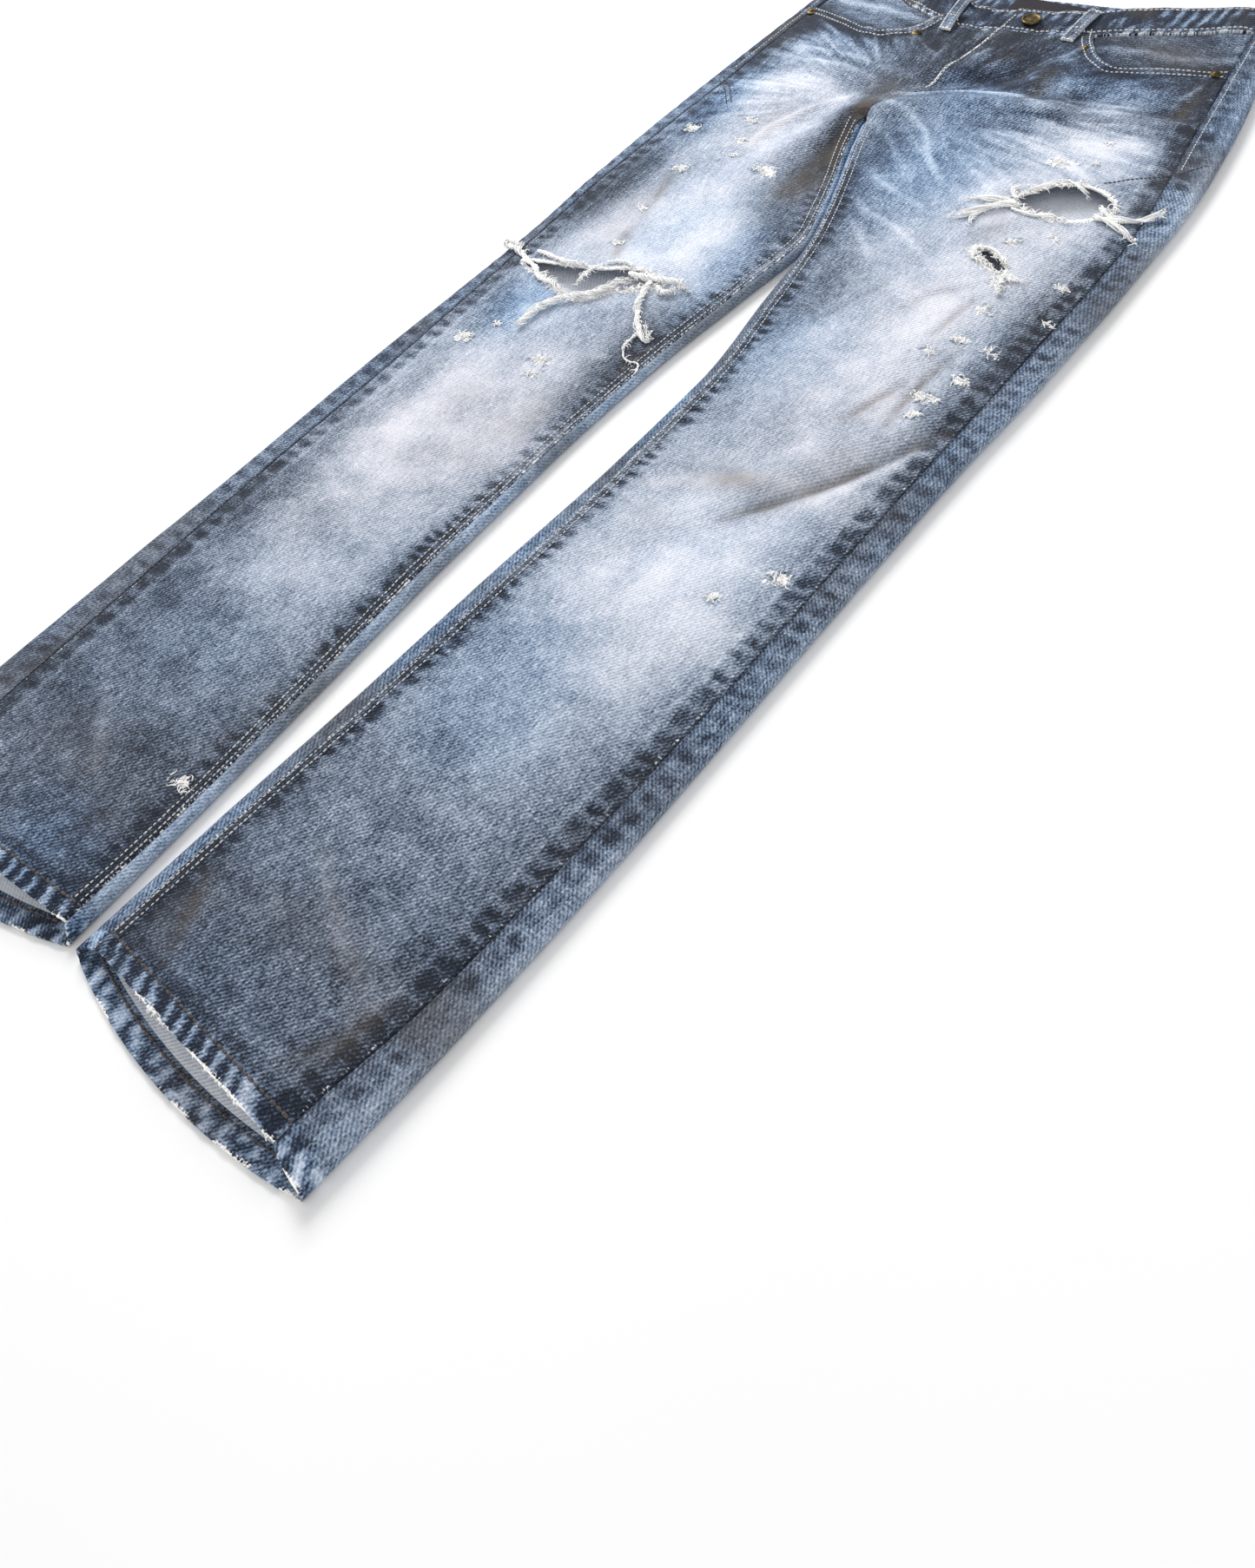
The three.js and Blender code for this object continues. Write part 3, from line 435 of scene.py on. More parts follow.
FADE_AND_SHADE_PATCHES = {
    # x, y, reach across, reach along, change of fade; some dark ones are painted shade
    "left": [
        (128, 16, 42, 40, 0.26), (165, 62, 26, 30, 0.24), (100, -50, 30, 44, 0.16),
        (150, -78, 34, 40, 0.14), (22, -40, 46, 66, -0.1), (44, -214, 24, 66, -0.22),
        (192, -215, 16, 100, -0.28), (132, -186, 26, 60, 0.2), (110, -480, 46, 46, 0.12),
        (60, -350, 30, 44, -0.08), (190, -370, 20, 60, -0.12), (100, -540, 40, 40, 0.06),
        (170, -690, 20, 60, -0.12), (130, -620, 30, 30, 0.06), (60, 100, 18, 30, -0.1),
        # painted shade: the first two darken the fold valley below the fly
        (6, 100, 30, 10, -0.26), (34, 126, 12, 22, -0.2), (30, 74, 34, 6, 0.22),
        (8, 150, 20, 40, -0.14), (95, 70, 30, 20, 0.1), (110, 120, 30, 18, 0.08),
        (150, 130, 20, 16, -0.1), (45, -300, 14, 60, -0.06), (95, -730, 30, 30, 0.04),
        # painted shade: the second darkens the front just below the left pocket scoop
        (90, -830, 60, 22, -0.06), (100, 136, 24, 12, -0.14), (-14, 66, 24, 22, -0.22),
        (-14, 0, 22, 40, -0.2), (-10, -66, 20, 50, -0.24), (22, -140, 26, 46, -0.24),
        (38, -190, 20, 36, -0.18), (66, 56, 22, 44, 0.13), (190, 0, 14, 28, 0.1),
        (70, -50, 18, 18, -0.12), (135, -330, 40, 60, 0.13), (56, -430, 24, 30, -0.1),
        (192, -350, 12, 60, 0.1), (115, -758, 30, 22, -0.12), (50, -705, 30, 24, 0.08),
    ],
    "right": [
        (-180, -20, 18, 60, -0.34), (-185, -140, 22, 70, -0.42), (-192, -220, 14, 50, -0.2),
        # painted shade: these three darken the right inner thigh beside the edge of the left leg, which
        # lies over it
        (-48, -30, 22, 60, -0.5), (-56, -90, 22, 46, -0.4), (-30, -150, 20, 40, -0.42),
        (-120, 20, 36, 30, 0.1), (-84, 8, 14, 30, 0.1), (-130, -110, 26, 30, -0.12),
        (-90, -310, 46, 24, -0.04), (-170, -330, 20, 40, -0.2), (-44, -330, 16, 60, -0.34),
        (-48, -420, 18, 60, -0.24), (-170, -420, 18, 60, -0.2), (-176, -540, 22, 60, -0.2),
        (-44, -560, 16, 60, -0.2), (-110, -610, 30, 30, 0.12), (-110, 100, 50, 14, 0.08),
        (-190, 110, 14, 30, -0.1), (-60, 70, 20, 20, -0.1), (-120, -480, 34, 50, 0.08),
        # painted shade: the first darkens beside the fly's edge, the other two just below the right pocket
        # scoop
        (-34, 130, 8, 60, -0.2), (-120, 122, 40, 8, -0.16), (-100, 132, 50, 14, -0.14),
        (-50, 158, 18, 20, -0.16), (-56, 10, 22, 46, -0.2), (-128, -50, 40, 46, -0.13),
        (-180, -100, 18, 90, -0.1), (-172, -190, 16, 24, -0.12), (-40, -200, 20, 44, -0.2),
        (-125, -318, 26, 16, 0.15), (-160, -425, 20, 50, -0.13), (-48, -470, 14, 90, 0.14),
        (-172, -610, 20, 110, -0.14), (-140, -608, 16, 24, -0.1), (-110, -712, 40, 18, -0.1),
        (-50, -800, 14, 34, 0.1),
    ],
}
STAINS_AND_CROTCH_SHADE = {
    # x, y, reach across, reach along, strength
    "left": [
        (61, 96, 7, 24, 0.7), (172, 118, 9, 22, 0.5), (196, 20, 9, 60, 0.3),
        (196, -210, 12, 80, 0.25), (108, -50, 7, 14, 0.4), (120, -95, 10, 24, 0.4),
        (52, -200, 14, 40, 0.25), (100, -392, 40, 12, 0.25), (112, -786, 50, 16, 0.42),
        (34, -824, 12, 26, 0.4), (166, -824, 10, 24, 0.4), (200, -650, 14, 70, 0.35),
        (188, -800, 14, 40, 0.25), (150, -350, 20, 30, 0.15), (70, -446, 20, 16, 0.18),
        (12, 132, 12, 8, 0.3), (104, -340, 60, 60, 0.12),
    ],
    "right": [
        # the first two are partly dirt and partly painted shade beside the edge of the left leg, which lies
        # over the right one
        (-52, 18, 12, 30, 0.9), (-44, -50, 14, 60, 0.75), (-52, -100, 16, 40, 0.5),
        (-146, -160, 12, 50, 0.3), (-132, -215, 12, 34, 0.35), (-52, -310, 14, 40, 0.5),
        (-56, -400, 16, 50, 0.35), (-118, -780, 40, 24, 0.35), (-60, -806, 24, 24, 0.3),
        (-120, -30, 12, 30, 0.25), (-60, 60, 20, 16, 0.5), (-40, -700, 10, 70, 0.25),
        (-100, -560, 40, 20, 0.15), (-170, -180, 16, 50, 0.25), (-104, -450, 50, 80, 0.24),
        (-184, 96, 8, 22, 0.35),
    ],
}
BLUES = {
    # x, y, reach across, reach along, how much bluer
    "left": [(20, -30, 60, 90, 0.8), (10, 80, 40, 40, 0.7), (110, 130, 60, 40, 0.8),
             (70, -20, 50, 80, 0.3), (60, -260, 50, 60, 0.5), (120, -440, 70, 60, 0.35),
             (80, -610, 60, 70, 0.55), (60, -840, 60, 26, 0.25), (160, 40, 40, 40, 0.3)],
    "right": [(-180, -10, 24, 60, 0.9), (-130, 110, 60, 50, 0.5), (-100, -200, 40, 90, 0.6),
              (-150, -310, 30, 40, 0.9), (-40, -200, 20, 60, 0.6), (-100, -680, 70, 60, 0.2),
              (-70, -830, 40, 30, 0.5)],
}


def patches(rows, x, y):
    total = np.zeros(np.shape(x))
    for px, py, across, along, amount in rows:
        total += amount * np.exp(-((x - px) / across) ** 2 - ((y - py) / along) ** 2)
    return total


def front_tone(leg, x, y):
    """Fade, stain, blue and wear of a front panel's outer face."""
    name = leg["name"]
    to_out, to_in = seam_distances(leg, x, y)
    at_out, at_in = front_ladders(leg, x, y)
    _, ridge_wear_and_highlight, dirt = creases_at(x, y)
    down = curve_through(*zip(*FADE_DOWN[name]))
    fade = down(y) + patches(FADE_AND_SHADE_PATCHES[name], x, y)
    # painted shade in a band beside both seams, crease ridges paler from wear and painted highlight, uneven
    # all over
    low = smooth(-y, 560, 720)
    fade -= lerp(0.3, 0.1, low) * np.exp(-(to_out / lerp(22, 14, low)) ** 2)
    fade -= lerp(0.2, 0.08, low) * np.exp(-(to_in / 20) ** 2) * smooth(CROTCH_Y - y, 0, 40)
    fade += 0.3 * ridge_wear_and_highlight * smooth(1 - fade, 0, 0.4)
    fade += 0.2 * (cloud(x, y, 48, 4) - 0.5) + 0.16 * (cloud(x, y, 17, 5) - 0.5)
    fan, fan_share = whiskers(x, y)
    fade += 0.4 * fan * fan_share
    fade -= 0.38 * at_out + 0.46 * at_in
    fade -= 0.16 * (1 - smooth(to_in, 5, 12)) * smooth(CROTCH_Y - y, 20, 120)
    # a pale line 17 mm from the outseam, and painted shadow as a thin dark line in the outseam's groove
    fade += 0.12 * np.exp(-((to_out - 17) / 2.2) ** 2) - 0.3 * np.exp(-((to_out - 0.6) / 1.1) ** 2)
    # stain patches, with painted shade in the two by the crotch, and dirt in the creases
    stain = 0.62 * patches(STAINS_AND_CROTCH_SHADE[name], x, y) + dirt * 0.62
    stain *= 0.5 + 1.0 * cloud(x, y, 20, 6)
    blue = 0.22 + 0.85 * patches(BLUES[name], x, y) + 0.2 * (cloud(x, y, 70, 7) - 0.5)
    seam_edge = smooth(CROTCH_Y - y, 0, 30) * np.exp(-(to_in / 1.5) ** 2)
    fly_edge = smooth(y, FLY_BOTTOM_Y - 2, FLY_BOTTOM_Y + 6) * np.exp(-(to_in / 1.8) ** 2)
    fly_edge = fly_edge * (leg["side"] > 0)
    # pale line beside the outseam: partly worn edge, partly painted highlight on its raised edge
    out_wear_and_highlight = lerp(0.2, 0.38, smooth(-y, 150, 330)) * np.exp(-((to_out - 2.6) / 1.0) ** 2)
    wear = 0.44 * seam_edge + out_wear_and_highlight + 0.62 * fly_edge
    return np.clip(fade, 0, 1), np.clip(stain, 0, 1), np.clip(blue, 0, 1), wear


print("fade patches:", {side: len(rows) for side, rows in FADE_AND_SHADE_PATCHES.items()})

# %% [markdown]
# A material is a small graph of nodes. One helper adds a node, sets its values and links
# its inputs, so each finish below reads as a short list. Colours are written as the eye
# sees them, in sRGB hex, and turned to the linear values that Blender works in.

# %% Helpers for materials
def linear(hex_colour):
    parts = [int(hex_colour[i:i + 2], 16) / 255 for i in (1, 3, 5)]
    return (*(p / 12.92 if p <= 0.04045 else ((p + 0.055) / 1.055) ** 2.4 for p in parts), 1.0)


def add_node(owner, kind, inputs=None, **settings):
    """Adds a node to a material or a node group: settings go on it, inputs are values or links."""
    tree = getattr(owner, "node_tree", owner)
    node = tree.nodes.new(kind)
    for key, value in settings.items():
        setattr(node, key, value)
    for key, value in (inputs or {}).items():
        if isinstance(value, bpy.types.NodeSocket):
            tree.links.new(value, node.inputs[key])
        else:
            node.inputs[key].default_value = value
    return node


def new_material(name):
    material = bpy.data.materials.new(name)
    material.use_nodes = True
    return material, material.node_tree.nodes["Principled BSDF"]


def set_stops(node, stops):
    ramp = node.color_ramp
    while len(ramp.elements) < len(stops):
        ramp.elements.new(0.5)
    for element, (place, colour) in zip(ramp.elements, stops):
        element.position = place
        element.color = linear(colour)


def noise_ramp(material, vector, scale, detail, stops):
    """Soft noise through a colour ramp: its strength and its colour."""
    noise = add_node(material, "ShaderNodeTexNoise", {"Vector": vector, "Scale": scale, "Detail": detail})
    ramp = add_node(material, "ShaderNodeValToRGB", {"Fac": noise.outputs["Fac"]})
    set_stops(ramp, stops)
    return noise.outputs["Fac"], ramp.outputs["Color"]


print("#808080 in linear light:", round(linear("#808080")[0], 3))

# %% [markdown]
# Denim is a twill: indigo warp threads run down the leg and pass over white weft, so fine
# slanted lines cross the cloth. Washing bares the white core of the warp in short streaks.
# The cloth attribute holds the distance along the weft and the warp in millimetres, which
# lets the pattern follow each panel round its folds. Its third value says how far the
# whiskers show, the fine bleached lines that fan out from the crotch over the hips.

# %% Washed indigo denim, twill woven
TWILL_PITCH = 2.2      # the twill lines lie just under 2 mm apart; drawn coarser so that they show
TWILL_ACROSS = (-0.79, 0.61)
STREAK_WIDTH = 1.5     # bared warp threads, drawn about two threads wide so that they show
STREAK_LENGTH = 12
MOTTLE_SIZE = 8
WHISKER_LINES = 20     # crinkles in one radian of the fan
WHISKER_RUN = 36       # their length along it in millimetres
GRAIN_SIZE = 1.6       # fuzz of bared fibres, drawn at the size of a few threads so that it shows
TARNISH_SIZE = 3       # dark spots on the metal
GREY_SHADES = [(0, "#161c26"), (0.2, "#3b4350"), (0.42, "#717a88"), (0.66, "#a6acb8"), (0.88, "#d4d5df"),
               (1, "#e8e8ef")]
BLUE_SHADES = [(0, "#0f1c30"), (0.2, "#2f415d"), (0.42, "#647e9e"), (0.66, "#9ab1cc"), (0.88, "#ccd8e9"),
               (1, "#e5ebf5")]
STAIN_SHADE = "#7d7268"
COTTON_SHADE = "#fbf9f5"


def cloth_threads(material):
    """Twill lines, streaks along the warp and weft, mottle and grain, each from 0 to 1."""
    cloth = add_node(material, "ShaderNodeAttribute", attribute_name="cloth").outputs["Vector"]
    slant = add_node(material, "ShaderNodeVectorMath", {0: cloth, 1: (*TWILL_ACROSS, 0)},
                     operation="DOT_PRODUCT")
    turns = add_node(material, "ShaderNodeMath", {0: slant.outputs["Value"], 1: 2 * math.pi / TWILL_PITCH},
                     operation="MULTIPLY")
    wave = add_node(material, "ShaderNodeMath", {0: turns.outputs[0]}, operation="SINE")
    twill = add_node(material, "ShaderNodeMapRange", {"Value": wave.outputs[0], "From Min": -1.0})
    noises = []
    for stretch, detail in (((1 / STREAK_WIDTH, 1 / STREAK_LENGTH, 0), 3),
                            ((1 / STREAK_LENGTH, 1 / STREAK_WIDTH, 0), 2),
                            ((1 / MOTTLE_SIZE, 1 / MOTTLE_SIZE, 0), 4),
                            ((1 / GRAIN_SIZE, 1 / GRAIN_SIZE, 0), 1)):
        scaled = add_node(material, "ShaderNodeVectorMath", {0: cloth, 1: stretch}, operation="MULTIPLY")
        noise = add_node(material, "ShaderNodeTexNoise",
                         {"Vector": scaled.outputs[0], "Scale": 1.0, "Detail": detail, "Roughness": 0.65})
        spread = add_node(material, "ShaderNodeMapRange",
                          {"Value": noise.outputs["Fac"], "From Min": 0.28, "From Max": 0.72})
        noises.append(spread.outputs["Result"])
    return twill.outputs["Result"], *noises


def whisker_lines(material):
    """Fine lines that fan out from the crotch, from 0 to 1, and how far they show."""
    cloth = add_node(material, "ShaderNodeAttribute", attribute_name="cloth").outputs["Vector"]
    arm = add_node(material, "ShaderNodeVectorMath", {0: cloth, 1: (*WHISKER_CENTRE, 0)},
                   operation="SUBTRACT")
    parts = add_node(material, "ShaderNodeSeparateXYZ", {0: arm.outputs[0]})
    x, y, share = parts.outputs
    reach = add_node(material, "ShaderNodeMath", {0: x}, operation="ABSOLUTE")
    turn = add_node(material, "ShaderNodeMath", {0: y, 1: reach.outputs[0]}, operation="ARCTAN2")
    half = add_node(material, "ShaderNodeMath", {0: x}, operation="SIGN")
    far = add_node(material, "ShaderNodeVectorMath", {0: arm.outputs[0]}, operation="LENGTH")
    fan = add_node(material, "ShaderNodeCombineXYZ",
                   {"X": turn.outputs[0], "Y": far.outputs["Value"], "Z": half.outputs[0]})
    stretch = (WHISKER_LINES, 1 / WHISKER_RUN, 7)
    scaled = add_node(material, "ShaderNodeVectorMath", {0: fan.outputs[0], 1: stretch},
                      operation="MULTIPLY")
    noise = add_node(material, "ShaderNodeTexNoise",
                     {"Vector": scaled.outputs[0], "Scale": 1.0, "Detail": 3.0, "Distortion": 0.5})
    spread = add_node(material, "ShaderNodeMapRange",
                      {"Value": noise.outputs["Fac"], "From Min": 0.3, "From Max": 0.7})
    return spread.outputs["Result"], share


def weighed(material, start, terms):
    """Start value plus each source's distance from a half, times its weight."""
    total = start
    for source, weight in terms:
        centred = add_node(material, "ShaderNodeMath", {0: source, 1: -0.5}, operation="ADD")
        total = add_node(material, "ShaderNodeMath", {0: centred.outputs[0], 1: weight, 2: total},
                         operation="MULTIPLY_ADD").outputs[0]
    return total


def mixed(material, factor, first, second):
    node = add_node(material, "ShaderNodeMix", {0: factor, 6: first, 7: second}, data_type="RGBA")
    return node.outputs[2]


def finish_cloth(material, shader, colour, relief, depth):
    bump = add_node(material, "ShaderNodeBump",
                    {"Height": relief, "Strength": 0.55, "Distance": depth * MM})
    material.node_tree.links.new(colour, shader.inputs["Base Color"])
    material.node_tree.links.new(bump.outputs["Normal"], shader.inputs["Normal"])
    shader.inputs["Roughness"].default_value = 0.92
    shader.inputs["Specular IOR Level"].default_value = 0.2
    shader.inputs["Sheen Weight"].default_value = 0.08
    shader.inputs["Sheen Roughness"].default_value = 0.6
    return material


def washed_denim():
    """Gives a matt, grainy blue that goes from indigo through streaks to near white."""
    material, shader = new_material("washed_indigo_denim")
    tone = add_node(material, "ShaderNodeAttribute", attribute_name="tone")
    parts = add_node(material, "ShaderNodeSeparateColor", {"Color": tone.outputs["Color"]})
    fade, stain, blue = parts.outputs
    twill, warp, weft, mottle, grain = cloth_threads(material)
    threads = weighed(material, 0.0,
                      [(twill, 0.2), (warp, 0.38), (weft, 0.14), (mottle, 0.2), (grain, 0.4)])
    calm = add_node(material, "ShaderNodeMapRange",
                    {"Value": fade, "From Min": 0.45, "To Min": 1.0, "To Max": 0.4})
    shade = add_node(material, "ShaderNodeMath", {0: threads, 1: calm.outputs["Result"], 2: fade},
                     operation="MULTIPLY_ADD").outputs[0]
    lines, share = whisker_lines(material)
    crinkle = weighed(material, 0.0, [(lines, 0.34)])
    shade = add_node(material, "ShaderNodeMath", {0: crinkle, 1: share, 2: shade},
                     operation="MULTIPLY_ADD").outputs[0]
    grey = add_node(material, "ShaderNodeValToRGB", {"Fac": shade})
    set_stops(grey, GREY_SHADES)
    indigo = add_node(material, "ShaderNodeValToRGB", {"Fac": shade})
    set_stops(indigo, BLUE_SHADES)
    hue = mixed(material, blue, grey.outputs["Color"], indigo.outputs["Color"])
    stained = add_node(material, "ShaderNodeMix", {0: stain, 6: hue, 7: linear(STAIN_SHADE)},
                       data_type="RGBA", blend_type="MULTIPLY")
    film = add_node(material, "ShaderNodeMath", {0: stain, 1: 0.3}, operation="MULTIPLY")
    tinted = mixed(material, film.outputs[0], stained.outputs[2], linear(STAIN_SHADE))
    rough_wear = weighed(material, tone.outputs["Alpha"], [(warp, 0.45), (weft, 0.4), (grain, 0.35)])
    worn = add_node(material, "ShaderNodeMapRange", {"Value": rough_wear, "From Min": 0.4, "From Max": 0.6})
    colour = mixed(material, worn.outputs["Result"], tinted, linear(COTTON_SHADE))
    relief = weighed(material, 0.5, [(twill, 0.5), (warp, 0.5), (weft, 0.3), (grain, 0.5)])
    return finish_cloth(material, shader, colour, relief, 0.6)


def denim_reverse():
    """The inside of the twill shows the white weft: a pale grey with slanted ribs, set lighter still as
    painted light.
    """
    material, shader = new_material("denim_reverse_side")
    twill, warp, weft, mottle, grain = cloth_threads(material)
    shade = weighed(material, 0.55, [(twill, 0.3), (warp, 0.14), (weft, 0.24), (mottle, 0.2), (grain, 0.3)])
    ramp = add_node(material, "ShaderNodeValToRGB", {"Fac": shade})
    # pale weft colour, set lighter as painted light where the reverse lies in shade in the rips
    set_stops(ramp, [(0, "#8b95a6"), (0.5, "#d6dce6"), (1, "#f6f7fa")])
    relief = weighed(material, 0.5, [(twill, 0.8), (weft, 0.4)])
    return finish_cloth(material, shader, ramp.outputs["Color"], relief, 0.5)


def spun_thread(name, pale, dark, fibre):
    """Spun cotton: matt, with a twist that is painted a little darker between the fibres, as painted shade.
    """
    material, shader = new_material(name)
    place = add_node(material, "ShaderNodeTexCoord").outputs["Object"]
    # noise at a fibre's size: painted shade between the fibres, and the bump
    twist, colour = noise_ramp(material, place, 1 / (fibre * MM), 3.0, [(0.3, dark), (0.65, pale)])
    return finish_cloth(material, shader, colour, twist, 0.2)


def aged_brass_in_painted_shade():
    """Plated brass, stamped and tumbled: warm metal with dark tarnish spots, its colours painted darker
    overall as painted shade.
    """
    material, shader = new_material("aged_stamped_brass_in_painted_shade")
    place = add_node(material, "ShaderNodeTexCoord").outputs["Object"]
    # both colours darker than the metal alone: real tarnish spots and painted shade
    stops = [(0.3, "#2b2419"), (0.7, "#75643f")]
    tarnish, colour = noise_ramp(material, place, 1 / (TARNISH_SIZE * MM), 5.0, stops)
    rough = add_node(material, "ShaderNodeMapRange", {"Value": tarnish, "To Min": 0.6, "To Max": 0.3})
    material.node_tree.links.new(colour, shader.inputs["Base Color"])
    material.node_tree.links.new(rough.outputs["Result"], shader.inputs["Roughness"])
    shader.inputs["Metallic"].default_value = 1.0
    return material


def woven_label():
    """Plain black satin weave, with the fine ribs of its close threads."""
    material, shader = new_material("black_woven_satin")
    cloth = add_node(material, "ShaderNodeAttribute", attribute_name="cloth").outputs["Vector"]
    scaled = add_node(material, "ShaderNodeVectorMath", {0: cloth, 1: (0.15, 1.2, 1)}, operation="MULTIPLY")
    ribs, colour = noise_ramp(material, scaled.outputs[0], 1.0, 3.0, [(0.3, "#0d0b10"), (0.7, "#2a262e")])
    return finish_cloth(material, shader, colour, ribs, 0.2)


DENIM = washed_denim()
REVERSE = denim_reverse()
WHITE_THREAD = spun_thread("white_cotton_thread", "#ffffff", "#f6f5f3", 1.2)
PALE_THREAD = spun_thread("pale_grey_topstitch_thread", "#ecebe8", "#a5a7ab", 1.0)
BROWN_THREAD = spun_thread("brown_grey_hem_thread", "#6d6462", "#2f2d30", 1.0)
BRASS = aged_brass_in_painted_shade()
SATIN = woven_label()
finishes = (DENIM, REVERSE, WHITE_THREAD, PALE_THREAD, BROWN_THREAD, BRASS, SATIN)
print("materials:", [finish.name for finish in finishes])

# %% [markdown]
# A cloth panel is a shell: an outer face, an inner face one cloth thickness below it, and
# a rim all round. It could be a flat sheet with a Solidify modifier, but then the inside
# of a hem could not have its own material. Building both faces from one grid of points
# keeps them exactly one wall apart, and a mask says which squares a rip leaves out.

# %% Shells from grids of points
def add_object(name, mesh):
    piece = bpy.data.objects.new(name, mesh)
    bpy.context.scene.collection.objects.link(piece)
    return piece


def quad_mesh(name, points, quads, materials, material_index=None, attributes=None):
    mesh = bpy.data.meshes.new(name)
    mesh.vertices.add(len(points))
    mesh.vertices.foreach_set("co", ((points + SHIFT) * MM).ravel())
    mesh.loops.add(quads.size)
    mesh.loops.foreach_set("vertex_index", quads.ravel())
    mesh.polygons.add(len(quads))
    mesh.polygons.foreach_set("loop_start", np.arange(0, quads.size, 4))
    mesh.polygons.foreach_set("use_smooth", np.ones(len(quads), bool))
    for material in materials:
        mesh.materials.append(material)
    if material_index is not None:
        mesh.polygons.foreach_set("material_index", material_index)
    for key, values in (attributes or {}).items():
        kind = "FLOAT_COLOR" if values.shape[1] == 4 else "FLOAT_VECTOR"
        layer = mesh.attributes.new(key, kind, "POINT")
        layer.data.foreach_set("color" if values.shape[1] == 4 else "vector", values.ravel())
    mesh.update()
    mesh.validate()
    return mesh


def grid_quads(rows, columns):
    corner = (np.arange(rows - 1)[:, None] * columns + np.arange(columns - 1)).ravel()
    return np.stack([corner, corner + 1, corner + columns + 1, corner + columns], axis=1)


def shell(name, outer, inner, tone, cloth, keep=None, inside_denim=None, crinkle=0.0):
    """Closed cloth wall. keep masks the squares; inside_denim those that show the outer face inside."""
    rows, columns = outer.shape[:2]
    quads = grid_quads(rows, columns)
    keep = np.ones(len(quads), bool) if keep is None else keep.ravel()
    turned_in = np.zeros(len(quads), bool) if inside_denim is None else inside_denim.ravel()
    quads, turned_in = quads[keep], turned_in[keep]
    count = rows * columns
    edges = np.concatenate([quads[:, [k, (k + 1) % 4]] for k in range(4)])
    codes = edges[:, 0] * count + edges[:, 1]
    rim = edges[~np.isin(codes, edges[:, 1] * count + edges[:, 0])]
    rim_quads = np.stack([rim[:, 1], rim[:, 0], rim[:, 0] + count, rim[:, 1] + count], axis=1)
    faces = np.vstack([quads, quads[:, ::-1] + count, rim_quads])
    index = np.concatenate([np.zeros(len(quads), int), np.where(turned_in, 0, 1), np.zeros(len(rim), int)])
    points = np.vstack([outer.reshape(-1, 3), inner.reshape(-1, 3)])
    used, faces = np.unique(faces, return_inverse=True)
    faces = faces.reshape(-1, 4)
    points = points[used]
    corners = points[faces]
    volume = np.einsum("ij,ij->i", corners[:, 0], np.cross(corners[:, 1], corners[:, 2])
                       + np.cross(corners[:, 2], corners[:, 3])).sum()
    if volume < 0:
        faces = faces[:, ::-1]
    tones = np.stack(tone, axis=-1).reshape(-1, 4)
    plan = np.dstack([cloth, np.broadcast_to(crinkle, cloth.shape[:2])]).reshape(-1, 3)
    attributes = {"tone": np.vstack([tones, tones])[used], "cloth": np.vstack([plan, plan])[used]}
    mesh = quad_mesh(name, points, faces, [DENIM, REVERSE], index, attributes)
    mesh.set_sharp_from_angle(angle=math.radians(70))
    piece = add_object(name, mesh)
    print(f"{name}: {2 * len(faces)} triangles")
    return piece


# %% [markdown]
# The rips and the pocket scoops are cut out of the front's grid. Squares whose middle lies
# in the outline go, and the points left on the edge are moved onto it, so the cut follows
# the outline and not the grid. A little noise makes the edge of a rip ragged.

# %% Outlines of the rips and the pocket scoops
RIPS = {
    "thigh": ("left", [(117, -50), (123, -33), (142, -11), (167, -9), (181, -19), (181, -34), (160, -52),
                       (137, -57)]),
    "thigh_small": ("left", [(121, -117), (130, -112), (142, -117), (155, -130), (143, -129), (129, -123)]),
    "knee": ("right", [(-188, -267), (-153, -260), (-122, -253), (-96, -241), (-67, -245), (-96, -270),
                       (-118, -291), (-158, -278)]),
}
SCOOPS = {
    "left": [(58, 196), (68, 172), (86, 152), (104, 150), (140, 165), (192, 188)],
    "right": [(-74, 172), (-82, 148), (-96, 135), (-120, 132), (-166, 148), (-216, 166)],
}
RAGGED = 1.6
SCOOP_MARGIN = 120
SNAP_REACH = 3.4


def rip_outline(name, count=240):
    outline = bend_through(RIPS[name][1], count, closed=True)
    along = np.roll(outline, -1, axis=0) - np.roll(outline, 1, axis=0)
    out = np.stack([along[:, 1], -along[:, 0]], axis=1)
    out /= np.linalg.norm(out, axis=1)[:, None]
    wobble = RAGGED * (cloud(outline[:, 0], outline[:, 1], 3.2, 8) - 0.5)
    return outline + out * wobble[:, None]


def scoop_outline(name, grow=0.0):
    side = legs[name]["side"]
    edge = [(x - side * grow / 2, y - grow) for x, y in SCOOPS[name]]
    line = bend_through(edge, 80)
    top = line[-1, 1] + SCOOP_MARGIN
    return np.vstack([line, [(line[-1, 0], top), (line[0, 0], top)]])


def inside(outline, x, y):
    within = np.zeros(np.shape(x), bool)
    for (x0, y0), (x1, y1) in zip(outline, np.roll(outline, -1, axis=0)):
        if y0 != y1:
            crosses = (y0 > y) != (y1 > y)
            within ^= crosses & (x < x0 + (y - y0) * (x1 - x0) / (y1 - y0))
    return within


